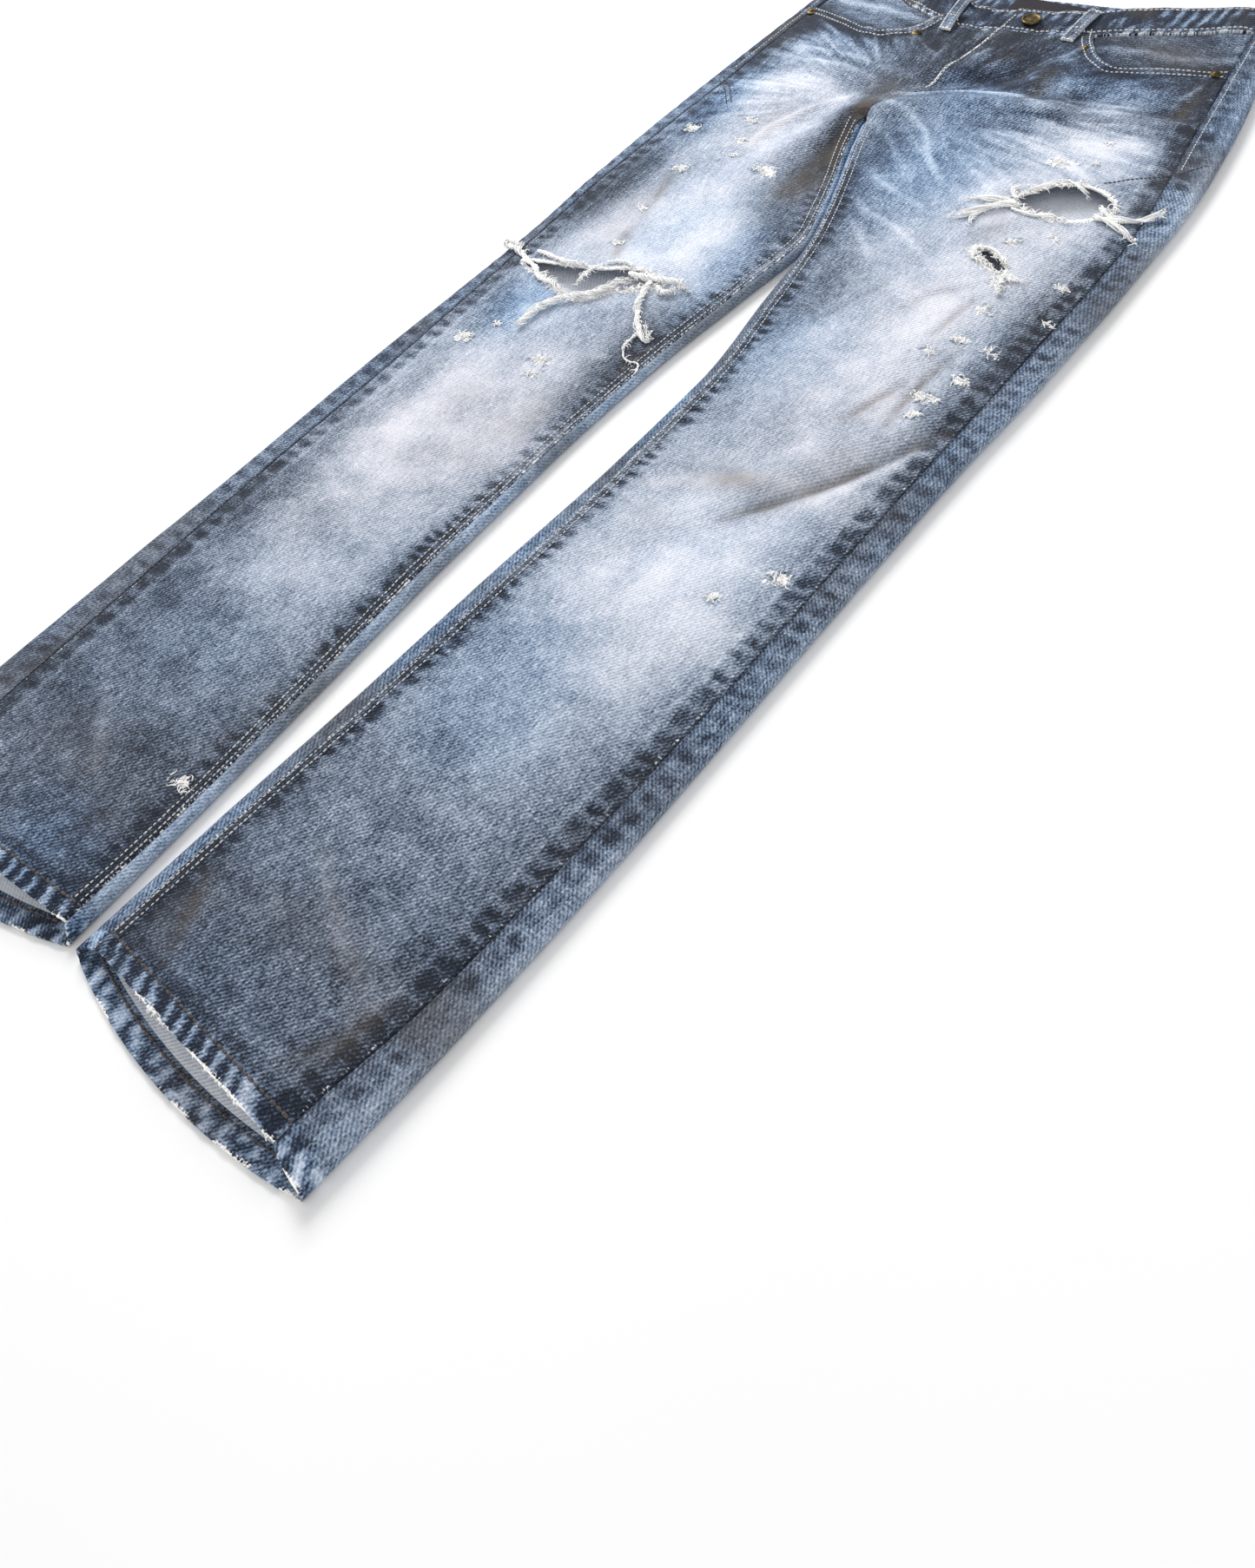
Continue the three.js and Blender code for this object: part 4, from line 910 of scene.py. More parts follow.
def snap_to_cut(x, y, keep, outline):
    """Moves the points between kept and cut squares onto the outline."""
    rows, columns = x.shape
    some_cut, some_kept = np.zeros((rows, columns), bool), np.zeros((rows, columns), bool)
    for r, c in ((0, 0), (0, 1), (1, 0), (1, 1)):
        some_cut[r:rows - 1 + r, c:columns - 1 + c] |= ~keep
        some_kept[r:rows - 1 + r, c:columns - 1 + c] |= keep
    edge = some_cut & some_kept
    ring = np.vstack([outline, outline[:1]])
    dense = np.vstack([lerp(a, b, t) for a, b in zip(ring, ring[1:]) for t in (0, 0.5)])
    for r, c in np.argwhere(edge):
        away = np.hypot(dense[:, 0] - x[r, c], dense[:, 1] - y[r, c])
        nearest = away.argmin()
        if away[nearest] < SNAP_REACH:
            x[r, c], y[r, c] = dense[nearest]


print("rips:", list(RIPS), "scoops:", list(SCOOPS))

# %% [markdown]
# A front panel is a grid of rows from the hem to the waist. Its height comes from the
# place alone, so a point that was moved to a cut edge still lies on the cloth. The hem is
# turned up and sewn, so its last 14 mm are thicker, roped into slanted folds and worn
# pale along the edge.

# %% Front panels
GRID_STEP = 2.4
GRID_COLUMNS = 87
SLOPE_STEP = 1.5
HEM_ROPE_PITCH = 13
ABRASIONS = [
    # x, y, size
    (125, 12, 9), (144, 46, 3), (147, 22, 3), (139, -94, 6), (163, -75, 4), (194, -122, 5),
    (154, -142, 7), (159, -169, 7), (202, -161, 4), (160, -203, 6), (149, -225, 5), (184, -206, 6),
    (168, -266, 9), (181, -241, 7), (172, -286, 5), (176, -449, 8), (152, -483, 5), (-175, -57, 8),
    (-135, -30, 6), (-124, -58, 5), (-147, -113, 8), (-80, -90, 8), (-118, -79, 5), (-145, -170, 4),
    (-133, -216, 5), (-167, -362, 8), (-151, -340, 4), (-92, -358, 8), (-90, -373, 5), (-36, -762, 8),
]


def hem_rope(x, from_edge, seed):
    wander = 26 * cloud(x, 0 * x, 30, seed) + 5 * cloud(x, from_edge, 6, seed + 1)
    beat = np.sin(2 * np.pi * (x + 0.35 * from_edge + wander) / HEM_ROPE_PITCH)
    beat = smooth(beat, -0.3, 0.9) * 2 - 1
    strength = 0.5 + 0.7 * cloud(x, 0 * x, 12, seed + 4)
    return beat * strength * (1 - smooth(from_edge, HEM_DEPTH - 3, HEM_DEPTH + 1))


def hem_tone(tone, x, from_edge, seed):
    """The hem is dark between its ropes and worn to white along its edge."""
    fade, stain, blue, wear = tone
    on_hem = 1 - smooth(from_edge, HEM_DEPTH - 1, HEM_DEPTH + 2)
    rope = hem_rope(x, from_edge, seed)
    fade = fade + on_hem * (0.32 * rope + 0.02) - 0.16 * np.exp(-((from_edge - HEM_DEPTH - 3) / 4) ** 2)
    chewed = smooth(cloud(x, 0 * x, 16, seed + 2), 0.45, 0.75)
    wear = np.maximum(wear, np.exp(-(from_edge / 2.2) ** 2) * (0.25 + 0.5 * chewed))
    return np.clip(fade, 0, 1), stain * (1 - 0.4 * on_hem), np.clip(blue + 0.25 * on_hem, 0, 1), wear


def front_panel(name):
    leg = legs[name]
    y_rows = np.linspace(HEM_Y, WAIST_Y, round((WAIST_Y - HEM_Y) / GRID_STEP) + 1)
    shares = np.linspace(0, 1, GRID_COLUMNS)
    y_grid, across = np.meshgrid(y_rows, shares, indexing="ij")
    x, y = front_place(leg, y_grid, across)
    mid_x = (x[:-1, :-1] + x[1:, 1:] + x[:-1, 1:] + x[1:, :-1]) / 4
    mid_y = (y[:-1, :-1] + y[1:, 1:] + y[:-1, 1:] + y[1:, :-1]) / 4
    keep = np.ones(mid_x.shape, bool)
    outlines = [rip_outline(rip) for rip, (side, _) in RIPS.items() if side == name]
    wear = np.zeros(x.shape)
    for outline in [*outlines, scoop_outline(name)]:
        hole = ~inside(outline, mid_x, mid_y)
        snap_to_cut(x, y, hole, outline)
        keep &= hole
    for outline in outlines:
        away, _ = line_distance(np.vstack([outline[::3], outline[:1]]), x, y)
        wear = np.maximum(wear, 0.85 * np.exp(-(away / 4.5) ** 2))
    from_edge = y_grid - HEM_Y
    z = front_height(leg, x, y)
    pocket, _ = line_distance(SCOOPS[name], x, y)
    z += 0.8 * (1 - smooth(pocket, 8, 11)) * smooth(y, 90, 130)
    z += 0.45 * hem_rope(x, from_edge, leg["side"])
    z -= 0.7 * np.exp(-((from_edge - HEM_DEPTH + 2) / 1.4) ** 2)
    d = SLOPE_STEP
    slope_x = (front_height(leg, x + d, y) - front_height(leg, x - d, y)) / (2 * d)
    slope_y = (front_height(leg, x, y + d) - front_height(leg, x, y - d)) / (2 * d)
    wall = CLOTH + (HEM_CLOTH - CLOTH) * (1 - smooth(from_edge, HEM_DEPTH - 1, HEM_DEPTH + 2))
    depth = wall * np.minimum(1.4, np.sqrt(1 + slope_x ** 2 + slope_y ** 2))
    fade, stain, blue, seam_wear = front_tone(leg, x, y)
    wear = np.maximum(wear, seam_wear)
    # paler along the scoop's edge, and painted shade in a band just below its raised hem
    fade = fade + 0.16 * np.exp(-(pocket / 2.5) ** 2)
    fade = fade - 0.14 * np.exp(-((pocket - 13) / 4) ** 2) * smooth(y, 90, 130)
    for spot_x, spot_y, size in ABRASIONS:
        away = np.hypot(x - spot_x, 1.3 * (y - spot_y)) / size + 1.6 * (cloud(x, y, 4, 15) - 0.5)
        wear = np.maximum(wear, 0.75 * np.exp(-np.maximum(0, away) ** 2))
        fade = fade - 0.3 * np.exp(-((away - 0.9) / 0.3) ** 2) * smooth(cloud(x, y, 5, 16), 0.5, 0.8)
    tone = hem_tone((fade, stain, blue, wear), x, from_edge, leg["side"])
    outer = np.stack([x, y, z], axis=2)
    inner = np.stack([x, y, z - depth], axis=2)
    turned = np.broadcast_to((y_rows[:-1] - HEM_Y < HEM_DEPTH)[:, None], keep.shape)
    plan = np.stack([x, y], axis=2)
    return shell(f"denim_front_{name}", outer, inner, tone, plan, keep, turned, whiskers(x, y)[1])


fronts = {name: front_panel(name) for name in legs}

# %% [markdown]
# A back panel starts at the inseam on top, goes round the inner fold, along the surface,
# round the outer fold and up to the outseam. Each row is that section, sampled more
# closely round the folds, and the wall goes inwards from it. Above the crotch the inner
# fold runs out, and the two panels meet flat at the seat seam.

# %% Back panels
ARC_STEPS = 24
CROTCH_SLACK = 1.2
WRAP_ABOVE_CROTCH = 0.62
WRAP_END_Y = 86
FLAT_LEAD = 24
BACK_STEP = 3.0
BACK_STRETCHES = (6, 12, 36, 14, 12)
BACK_CREASES = [
    # height, half width, line on the underside, in the leg's share across and the drawing's y
    (1.2, 9, [(0.3, -430), (0.5, -405), (0.72, -420)]),
    (1.0, 8, [(0.28, -385), (0.5, -366), (0.7, -380)]),
    (1.1, 9, [(0.32, -330), (0.52, -318), (0.7, -336)]),
    (1.0, 10, [(0.22, 0), (0.4, -40), (0.62, -60)]),
    (1.0, 10, [(0.24, -60), (0.44, -90), (0.68, -104)]),
]


def back_section(leg, y, thickness):
    """Outer and inner points of one row, its share across and the lengths to both seams."""
    side, outer_y = leg["side"], y + row_tilt(leg, y)
    crossed = y > CROTCH_Y
    seam_in = side * (centre_x(y) if crossed else leg["inseam"](y))
    inner_edge = side * (centre_x(y) if crossed else leg["inner"](y))
    rise_in, rise_out = leg["in_rise"](y), leg["out_rise"](outer_y)
    fold_in = max(1.5, min(rise_in / 2, seam_in - inner_edge - 2 * SEAM_GAP))
    fold_out = rise_out / 2
    wrap = 1.0 if not crossed else WRAP_ABOVE_CROTCH * (1 - smooth(y, CROTCH_Y, WRAP_END_Y))
    slack = CROTCH_SLACK * (1 - smooth(y, FLY_BOTTOM_Y, WAIST_Y))
    reach = SEAM_GAP / 2 + slack + fold_in * min(1, 3 * wrap) if crossed else fold_in
    in_centre, out_centre = inner_edge + reach, side * leg["outer"](outer_y) - fold_out
    turn = np.linspace(0, np.pi, ARC_STEPS + 1)
    inner_arc = np.stack([in_centre - fold_in * np.sin(turn), rise_in / 2 * (1 + np.cos(turn))], axis=1)
    outer_arc = np.stack([out_centre + fold_out * np.sin(turn), rise_out / 2 * (1 - np.cos(turn))], axis=1)
    first = (max(seam_in - SEAM_GAP, in_centre + SEAM_GAP / 2), rise_in)
    last = (side * leg["outseam"](outer_y) + SEAM_GAP, rise_out)
    points = np.vstack([[first], inner_arc, outer_arc, [last]])
    lengths = np.concatenate([[0], np.cumsum(np.hypot(*np.diff(points, axis=0).T))])
    total, fold_end = lengths[-1], lengths[1 + ARC_STEPS]
    start = (1 - wrap) * fold_end
    breaks = [start, lerp(start + FLAT_LEAD / 5, lengths[1], wrap),
              lerp(fold_end + FLAT_LEAD, fold_end, wrap),
              lengths[2 + ARC_STEPS], lengths[2 + 2 * ARC_STEPS], total]
    marks = np.concatenate([np.linspace(a, b, n, endpoint=False)
                            for a, b, n in zip(breaks, breaks[1:], BACK_STRETCHES)] + [[total]])
    at = lambda mark: np.stack([np.interp(mark, lengths, points[:, k]) for k in (0, 1)], axis=1)
    ahead = at(np.minimum(total, marks + CLOTH / 2)) - at(np.maximum(start, marks - CLOTH / 2))
    ahead /= np.linalg.norm(ahead, axis=1)[:, None]
    share = (marks - start) / (total - start)
    inner_y = y + BACK_RISE * smooth(y, CROTCH_Y, WAIST_Y)
    hem_share = 1 - smooth(y, HEM_Y, HEM_Y + HEM_SPREAD)
    row_y = lerp(inner_y, outer_y, share) - leg["hem_bulge"] * hem_share * hump(share) ** 0.7
    outer = at(marks)
    inner = outer - thickness * np.stack([ahead[:, 1], -ahead[:, 0]], axis=1)
    place = lambda flat: np.stack([side * flat[:, 0], row_y, flat[:, 1]], axis=1)
    return place(outer), place(inner), share, marks - start, total - marks


def back_lift(share, y):
    """Creases that lift the underside off the surface."""
    lift = np.zeros(np.shape(y))
    for height, half_width, line in BACK_CREASES:
        scaled = [(s * 250, row) for s, row in line]
        away, along = line_distance(scaled, share * 250, y)
        lift += height * np.exp(-(away / half_width) ** 2) * hump(0.05 + 0.9 * along)
    return lift


def back_panel(name):
    leg = legs[name]
    y_rows = np.linspace(HEM_Y, WAIST_Y, round((WAIST_Y - HEM_Y) / BACK_STEP) + 1)
    on_hem = 1 - smooth(y_rows - HEM_Y, HEM_DEPTH - 1, HEM_DEPTH + 2)
    rows = [back_section(leg, y, CLOTH + (HEM_CLOTH - CLOTH) * h) for y, h in zip(y_rows, on_hem)]
    outer, inner, share, to_in, to_out = (np.stack([row[k] for row in rows]) for k in range(5))
    x, y, z = outer[..., 0], outer[..., 1], outer[..., 2]
    from_edge = np.broadcast_to((y_rows - HEM_Y)[:, None], x.shape)
    flat = smooth(4 - z, 1, 3.5)
    lift = back_lift(share, y) * flat
    seed = 14 if leg["side"] > 0 else 18
    rungs = ladder(y, to_out, OUTSEAM_PITCH, 9, 6.5, seed) * (1 - flat)
    puckers = 0.6 * rungs + 0.3 * (1 - flat) * (cloud(to_out, y, 18, 3) - 0.5) * smooth(to_out, 0, 6)
    tucked = 1.6 * smooth(y, CROTCH_Y - 14, CROTCH_Y - 6) * (1 - smooth(to_in, 5, 12))
    settle = lift - (puckers + tucked) * smooth(z, 4, 8)
    for face in (outer, inner):
        face[..., 2] += settle
    fade = np.where(flat > 0.5, 0.42, 0.4) + 0.06 * smooth(y, -320, -60) * (1 - smooth(y, 20, 90))
    fade += 0.24 * patches([(0.5, -330, 0.3, 130, 1), (0.5, 60, 0.35, 110, 0.8)], share, y) * flat
    strip_fade_and_painted_light = {"left": 0.14, "right": -0.06}[name] * smooth(to_out, 12, 24) - 0.1 * smooth(y, 0, 120)
    # painted light on the right leg's inner fold strip, which lies in shade; the left one's is darker
    strip_fade_and_painted_light += {"left": -0.14, "right": 0.26}[name] * (1 - smooth(to_in, 10, 24)) * smooth(-y, -10, 120)
    # ladder rungs, and painted shadow as a thin dark line at the outseam
    fade += (strip_fade_and_painted_light - 0.3 * rungs) * (1 - flat) - 0.2 * np.exp(-((to_out - 0.6) / 1.2) ** 2)
    fade += 0.14 * (cloud(x, y, 40, 21) - 0.5) + 0.08 * (cloud(x, y, 15, 22) - 0.5)
    stain = 0.35 * smooth(cloud(x, y, 60, 23), 0.5, 0.9)
    stain += 0.25 * (1 - flat) * smooth(cloud(x, y, 90, 24), 0.45, 0.8)
    blue = 0.4 + 0.3 * (cloud(x, y, 80, 25) - 0.5) + 0.2 * (1 - flat) * smooth(y, -520, -300)
    blue += 0.3 * (1 - smooth(to_in, 10, 24))
    tone = (np.clip(fade, 0, 1), stain, np.clip(blue, 0, 1), np.zeros(x.shape))
    tone = hem_tone(tone, x, from_edge, seed)
    turned = np.broadcast_to((y_rows[:-1] - HEM_Y < HEM_DEPTH)[:, None], (x.shape[0] - 1, x.shape[1] - 1))
    inner[..., 2] += 0.4 * hem_rope(x, from_edge, seed) * flat
    plan = np.stack([to_in, y], axis=2)
    return shell(f"denim_back_{name}", outer, inner, tone, plan, None, turned)


backs = {name: back_panel(name) for name in legs}

# %% [markdown]
# The waistband is a doubled strip sewn on above both panels. It follows the panels' top
# rows, narrows a little to its upper edge and is pressed thin along both edges. Facings
# fill the pocket scoops: they are the front's own points, lowered under it.

# %% Waistband and pocket facings
BAND_SHARES = np.linspace(0, 1, 19)
FACING_DROP = 1.7
FACING_UNDERLAP = 9
FACING_LOW_Y = 36
FACING_STEP = 2.6
FACING_RIDGES = {
    "left": [(76, 170), (104, 178), (140, 182), (186, 204)],
    "right": [(-86, 158), (-124, 168), (-176, 176)],
}


def band_points(row, lift):
    rows = []
    for share in BAND_SHARES:
        x = lerp(row[:, 0], lerp(BAND_CENTRE_X, row[:, 0], BAND_TAPER), share)
        y = row[:, 1] + SEAM_GAP + BAND_WIDTH * share
        rows.append(np.stack([x, y, row[:, 2] + lift * share], axis=1))
    return np.stack(rows)


def band_tone(x, y, share, seed):
    edge = np.minimum(share, 1 - share) * BAND_WIDTH
    pucker = 0.5 + 0.5 * np.sin(2 * np.pi * (x + 10 * cloud(x, share * 20, 24, seed)) / 10)
    fade = 0.02 + 0.54 * pucker * smooth(cloud(x, share * BAND_WIDTH, 11, seed), 0.3, 0.7)
    fade += 0.2 * np.exp(-(edge / 2.2) ** 2) - 0.14 * np.exp(-((edge - 6.5) / 2.6) ** 2)
    stain = 0.5 * smooth(cloud(x, y, 26, seed + 1), 0.5, 0.85)
    return np.clip(fade, 0, 1), stain, np.full(x.shape, 0.6), 0.5 * np.exp(-(edge / 1.2) ** 2)


def waistband(name, outer_row, inner_row, lift, seed):
    """A doubled strip, so both its faces are the outside of the denim."""
    outer, inner = band_points(outer_row, lift), band_points(inner_row, lift)
    share = np.broadcast_to(BAND_SHARES[:, None], outer.shape[:2])
    x, y = outer[..., 0], outer[..., 1]
    edge = np.minimum(share, 1 - share) * BAND_WIDTH
    toward = inner - outer
    pinch = 0.22 * np.exp(-(edge / 1.5) ** 2) + 0.1 * np.exp(-((edge - 5) / 1.2) ** 2)
    pinch += 0.26 * np.sin(2 * np.pi * (x + 10 * cloud(x, y, 24, seed)) / 10) * smooth(edge, 2, 8)
    outer = outer + toward * np.maximum(0, pinch)[..., None]
    tone = band_tone(x, y, share, seed)
    doubled = np.ones((x.shape[0] - 1, x.shape[1] - 1), bool)
    return shell(name, outer, inner, tone, np.stack([x, y], axis=2), None, doubled, 0.7)


bands, band_tops = {}, {}
for name, leg in legs.items():
    shares = np.linspace(0, 1, 120)
    x, y = front_place(leg, np.full(shares.shape, float(WAIST_Y)), shares)
    z = front_height(leg, x, y)
    top = np.stack([x, y, z], axis=1)
    lift = BAND_LIFT * hump(shares)
    band_tops[name] = (top, lift)
    under = top - (0, 0, BAND_CLOTH)
    bands[name] = waistband(f"waistband_front_{name}_cloth", top, under, lift, 31 + leg["side"])

back_rows = {name: back_section(leg, float(WAIST_Y), BAND_CLOTH) for name, leg in legs.items()}
joined = []
for face in (0, 1):
    left, right = back_rows["left"][face], back_rows["right"][face]
    joined.append(np.vstack([right[:0:-1], [(left[0] + right[0]) / 2], left[1:]]))
band_back = waistband("waistband_back_cloth", *joined, 0.0, 40)


def pocket_facing(name):
    leg = legs[name]
    y_rows = np.arange(FACING_LOW_Y, WAIST_Y + 0.1, FACING_STEP)
    y_grid, across = np.meshgrid(y_rows, np.linspace(0, 1, 80), indexing="ij")
    x, y = front_place(leg, y_grid, across)
    mid_x, mid_y = ((g[:-1, :-1] + g[1:, 1:]) / 2 for g in (x, y))
    outline = scoop_outline(name, FACING_UNDERLAP)
    keep = inside(outline, mid_x, mid_y)
    snap_to_cut(x, y, keep, outline)
    z = front_height(leg, x, y) - FACING_DROP
    under_edge, _ = line_distance(SCOOPS[name], x, y)
    fade = {"left": 0.26, "right": 0.36}[name] + 0.3 * (cloud(x, y, 30, 51) - 0.5)
    # painted shadow on the facing under the front's scoop edge
    fade -= 0.24 * np.exp(-(under_edge / 9) ** 2)
    ridge, _ = line_distance(FACING_RIDGES[name], x, y)
    fade += 0.24 * np.exp(-(ridge / 5) ** 2) - 0.1 * np.exp(-((ridge - 10) / 4) ** 2)
    z += 1.2 * np.exp(-(ridge / 6) ** 2) * smooth(under_edge, 2, 12)
    stain = 0.8 * patches([(132, 186, 40, 20, 0.8), (-84, 150, 8, 10, 0.5)], x, y)
    tone = (np.clip(fade, 0, 1), stain, np.full(x.shape, 0.45), np.zeros(x.shape))
    outer, inner = np.stack([x, y, z], axis=2), np.stack([x, y, z - CLOTH], axis=2)
    return shell(f"pocket_facing_{name}_cloth", outer, inner, tone, np.stack([y, x], axis=2), keep)


facings = {name: pocket_facing(name) for name in legs}

# %% [markdown]
# Loops, stitches and metal lie on the dressed cloth. A search tree over the finished meshes
# answers how high the cloth is at any place, which is safer than repeating every formula.
# A ray from above finds the top face and its slope.

# %% Height of the dressed cloth
def top_tree(pieces):
    points, polygons = [], []
    for piece in pieces:
        start = len(points)
        points.extend(vertex.co.copy() for vertex in piece.data.vertices)
        polygons.extend([start + i for i in face.vertices] for face in piece.data.polygons)
    return BVHTree.FromPolygons(points, polygons)


panels = [*fronts.values(), *bands.values(), *facings.values(), *backs.values(), band_back]
cloth_top = top_tree(panels)


def height_at(x, y, fallback=12.0):
    origin = Vector(((x + SHIFT[0]) * MM, (y + SHIFT[1]) * MM, 0.2))
    hit = cloth_top.ray_cast(origin, Vector((0, 0, -1)))[0]
    return fallback if hit is None else hit.z / MM


def on_cloth(line, lift):
    return np.array([(x, y, height_at(x, y) + lift) for x, y in line])


print("height by the fly, mm:", round(height_at(-10, 150), 1))

# %% [markdown]
# Belt loops are narrow doubled strips that stand a little off the band between their two
# tacked ends. Their edges are rolled, so the section is thicker in the middle.

# %% Belt loops
LOOPS = {"left": {"x": 46, "lean": 2}, "right": {"x": -57, "lean": -6}}
LOOP_WIDTH = 11
LOOP_CLOTH = 1.8
LOOP_ARCH = 2
LOOP_DROP = 12
LOOP_INSET = 2


def loop_places(name, across, share):
    top = band_tops[name][0]
    x, lean = LOOPS[name]["x"], LOOPS[name]["lean"]
    seam_y = top[np.abs(top[:, 0] - x).argmin(), 1]
    y = lerp(seam_y - LOOP_DROP, seam_y + BAND_WIDTH - LOOP_INSET, share)
    px = x + lean * share + across * LOOP_WIDTH
    return px, y


def belt_loop(name):
    share, across = np.meshgrid(np.linspace(0, 1, 34), np.linspace(-0.5, 0.5, 11), indexing="ij")
    x, y = loop_places(name, across, share)
    rest = np.array([[height_at(a, b) for a, b in zip(*pair)] for pair in zip(x, y)])
    seat = rest.max(axis=1, keepdims=True) + 0.5 + LOOP_CLOTH + LOOP_ARCH * hump(share)
    z = seat - 0.9 * np.abs(2 * across) ** 4 + 0.3 * np.exp(-((np.abs(across) - 0.3) / 0.08) ** 2)
    low = np.broadcast_to(seat - LOOP_CLOTH, z.shape)
    fade = 0.34 + 0.4 * np.exp(-((np.abs(across) - 0.44) / 0.1) ** 2) + 0.3 * (cloud(x, y, 7, 60) - 0.5)
    ends = np.exp(-(np.minimum(share, 1 - share) / 0.05) ** 2)
    tone = (np.clip(fade + 0.2 * ends, 0, 1), 0.3 * cloud(x, y, 14, 61), np.full(x.shape, 0.6), 0.6 * ends)
    outer, inner = np.stack([x, y, z], axis=2), np.stack([x, y, low], axis=2)
    return shell(f"belt_loop_{name}_cloth", outer, inner, tone, np.stack([x, y], axis=2))


loops = {name: belt_loop(name) for name in legs}
cloth_top = top_tree([*panels, *loops.values()])

# %% [markdown]
# Seams are sewn with thread that shows as a row of short raised stitches. Placing hundreds
# by hand would be slow, so Geometry Nodes walk along each seam line, drop one small stitch
# at every pitch, turn it along the line and vary its size from a fixed seed.

# %% Stitch tree
STITCH_VARIES = (0.82, 1.16, 5)    # smallest and largest scale, and the seed


def stitch_tree(thread):
    tree = bpy.data.node_groups.new("sewn_stitches_" + thread.name, "GeometryNodeTree")
    tree.interface.new_socket("Geometry", in_out="INPUT", socket_type="NodeSocketGeometry")
    names = {}
    for name in ("Pitch", "Length", "Width"):
        socket = tree.interface.new_socket(name, in_out="INPUT", socket_type="NodeSocketFloat")
        names[name] = socket.identifier
    tree.interface.new_socket("Geometry", in_out="OUTPUT", socket_type="NodeSocketGeometry")
    given = add_node(tree, "NodeGroupInput").outputs
    curve = add_node(tree, "GeometryNodeMeshToCurve", {"Mesh": given["Geometry"]})
    spaced = add_node(tree, "GeometryNodeResampleCurve",
                      {"Curve": curve.outputs["Curve"], "Length": given["Pitch"]}, mode="LENGTH")
    ball = add_node(tree, "GeometryNodeMeshUVSphere", {"Segments": 7, "Rings": 4, "Radius": 0.5})
    size = add_node(tree, "ShaderNodeCombineXYZ",
                    {"X": given["Length"], "Y": given["Width"], "Z": given["Width"]})
    shaped = add_node(tree, "GeometryNodeTransform",
                      {"Geometry": ball.outputs["Mesh"], "Scale": size.outputs["Vector"]})
    tangent = add_node(tree, "GeometryNodeInputTangent")
    turned = add_node(tree, "FunctionNodeAlignRotationToVector",
                      {"Vector": tangent.outputs["Tangent"]}, axis="X")
    vary = add_node(tree, "FunctionNodeRandomValue", data_type="FLOAT")
    limits = [socket for socket in vary.inputs if socket.enabled and socket.name in ("Min", "Max", "Seed")]
    for socket, value in zip(limits, STITCH_VARIES):
        socket.default_value = value
    scale = next(socket for socket in vary.outputs if socket.enabled)
    placed = add_node(tree, "GeometryNodeInstanceOnPoints",
                      {"Points": spaced.outputs["Curve"], "Instance": shaped.outputs["Geometry"],
                       "Rotation": turned.outputs["Rotation"], "Scale": scale})
    real = add_node(tree, "GeometryNodeRealizeInstances", {"Geometry": placed.outputs["Instances"]})
    smoothed = add_node(tree, "GeometryNodeSetShadeSmooth", {"Geometry": real.outputs["Geometry"]})
    painted = add_node(tree, "GeometryNodeSetMaterial",
                       {"Geometry": smoothed.outputs["Geometry"], "Material": thread})
    add_node(tree, "NodeGroupOutput", {"Geometry": painted.outputs["Geometry"]})
    return tree, names


def sew(name, lines, thread, pitch, length, width):
    """Turns seam lines in drawing millimetres into one mesh of stitches."""
    points = [(np.asarray(line) + SHIFT) * MM for line in lines]
    starts = np.cumsum([0] + [len(line) for line in points])
    edges = []
    for start, line in zip(starts, points):
        edges += [(start + i, start + i + 1) for i in range(len(line) - 1)]
    mesh = bpy.data.meshes.new(name)
    mesh.from_pydata(np.vstack(points).tolist(), edges, [])
    piece = add_object(name, mesh)
    tree, sockets = stitch_tree(thread)
    modifier = piece.modifiers.new("stitches", "NODES")
    modifier.node_group = tree
    for key, value in (("Pitch", pitch), ("Length", length), ("Width", width)):
        modifier[sockets[key]] = value * MM
    evaluated = piece.evaluated_get(bpy.context.evaluated_depsgraph_get())
    sewn = bpy.data.meshes.new_from_object(evaluated)
    piece.modifiers.clear()
    piece.data = sewn
    print(f"{name}: {len(sewn.polygons)} faces")
    return piece


# %% [markdown]
# The seam lines come from the same curves as the panels. The inseams have two pale rows,
# the upper outseams one, the hems a brown one, and the waistband, pockets, fly and loops
# have rows of chunky pale thread.

# %% Stitch rows
STITCH_LIFT = 0.2
INSEAM_ROWS = (2.2, 6.6)
OUTSEAM_TOPS = {"left": 236, "right": 226}


def beside_seam(seam, leg, y_from, y_to, offset, step=4.0):
    ys = np.arange(y_from, y_to, step)
    aside = leg["side"] * offset
    xs = inner_x(leg, ys) + aside if seam == "in" else leg["outseam"](ys) - aside
    return on_cloth(np.stack([xs, ys], axis=1), STITCH_LIFT)


def hem_line(leg, from_edge):
    shares = np.linspace(0.01, 0.99, 60)
    x, y = front_place(leg, np.full(60, HEM_Y + from_edge), shares)
    return on_cloth(np.stack([x, y], axis=1), STITCH_LIFT)


def band_line(name, share):
    top, lift = band_tops[name]
    row = band_points(top, lift)[round(share * (len(BAND_SHARES) - 1))]
    return on_cloth(row[2:-2, :2], STITCH_LIFT)


def scoop_line(name, offset):
    edge = bend_through(SCOOPS[name], 50)
    along = np.gradient(edge, axis=0)
    out = np.stack([along[:, 1], -along[:, 0]], axis=1) * legs[name]["side"]
    out /= np.linalg.norm(out, axis=1)[:, None]
    line = edge + out * offset
    leg = legs[name]
    to_seam = leg["side"] * (leg["outseam"](line[:, 1]) - line[:, 0])
    below_band = line[:, 1] < edge[0, 1] - 4
    return on_cloth(line[(to_seam > 3) & below_band], STITCH_LIFT)


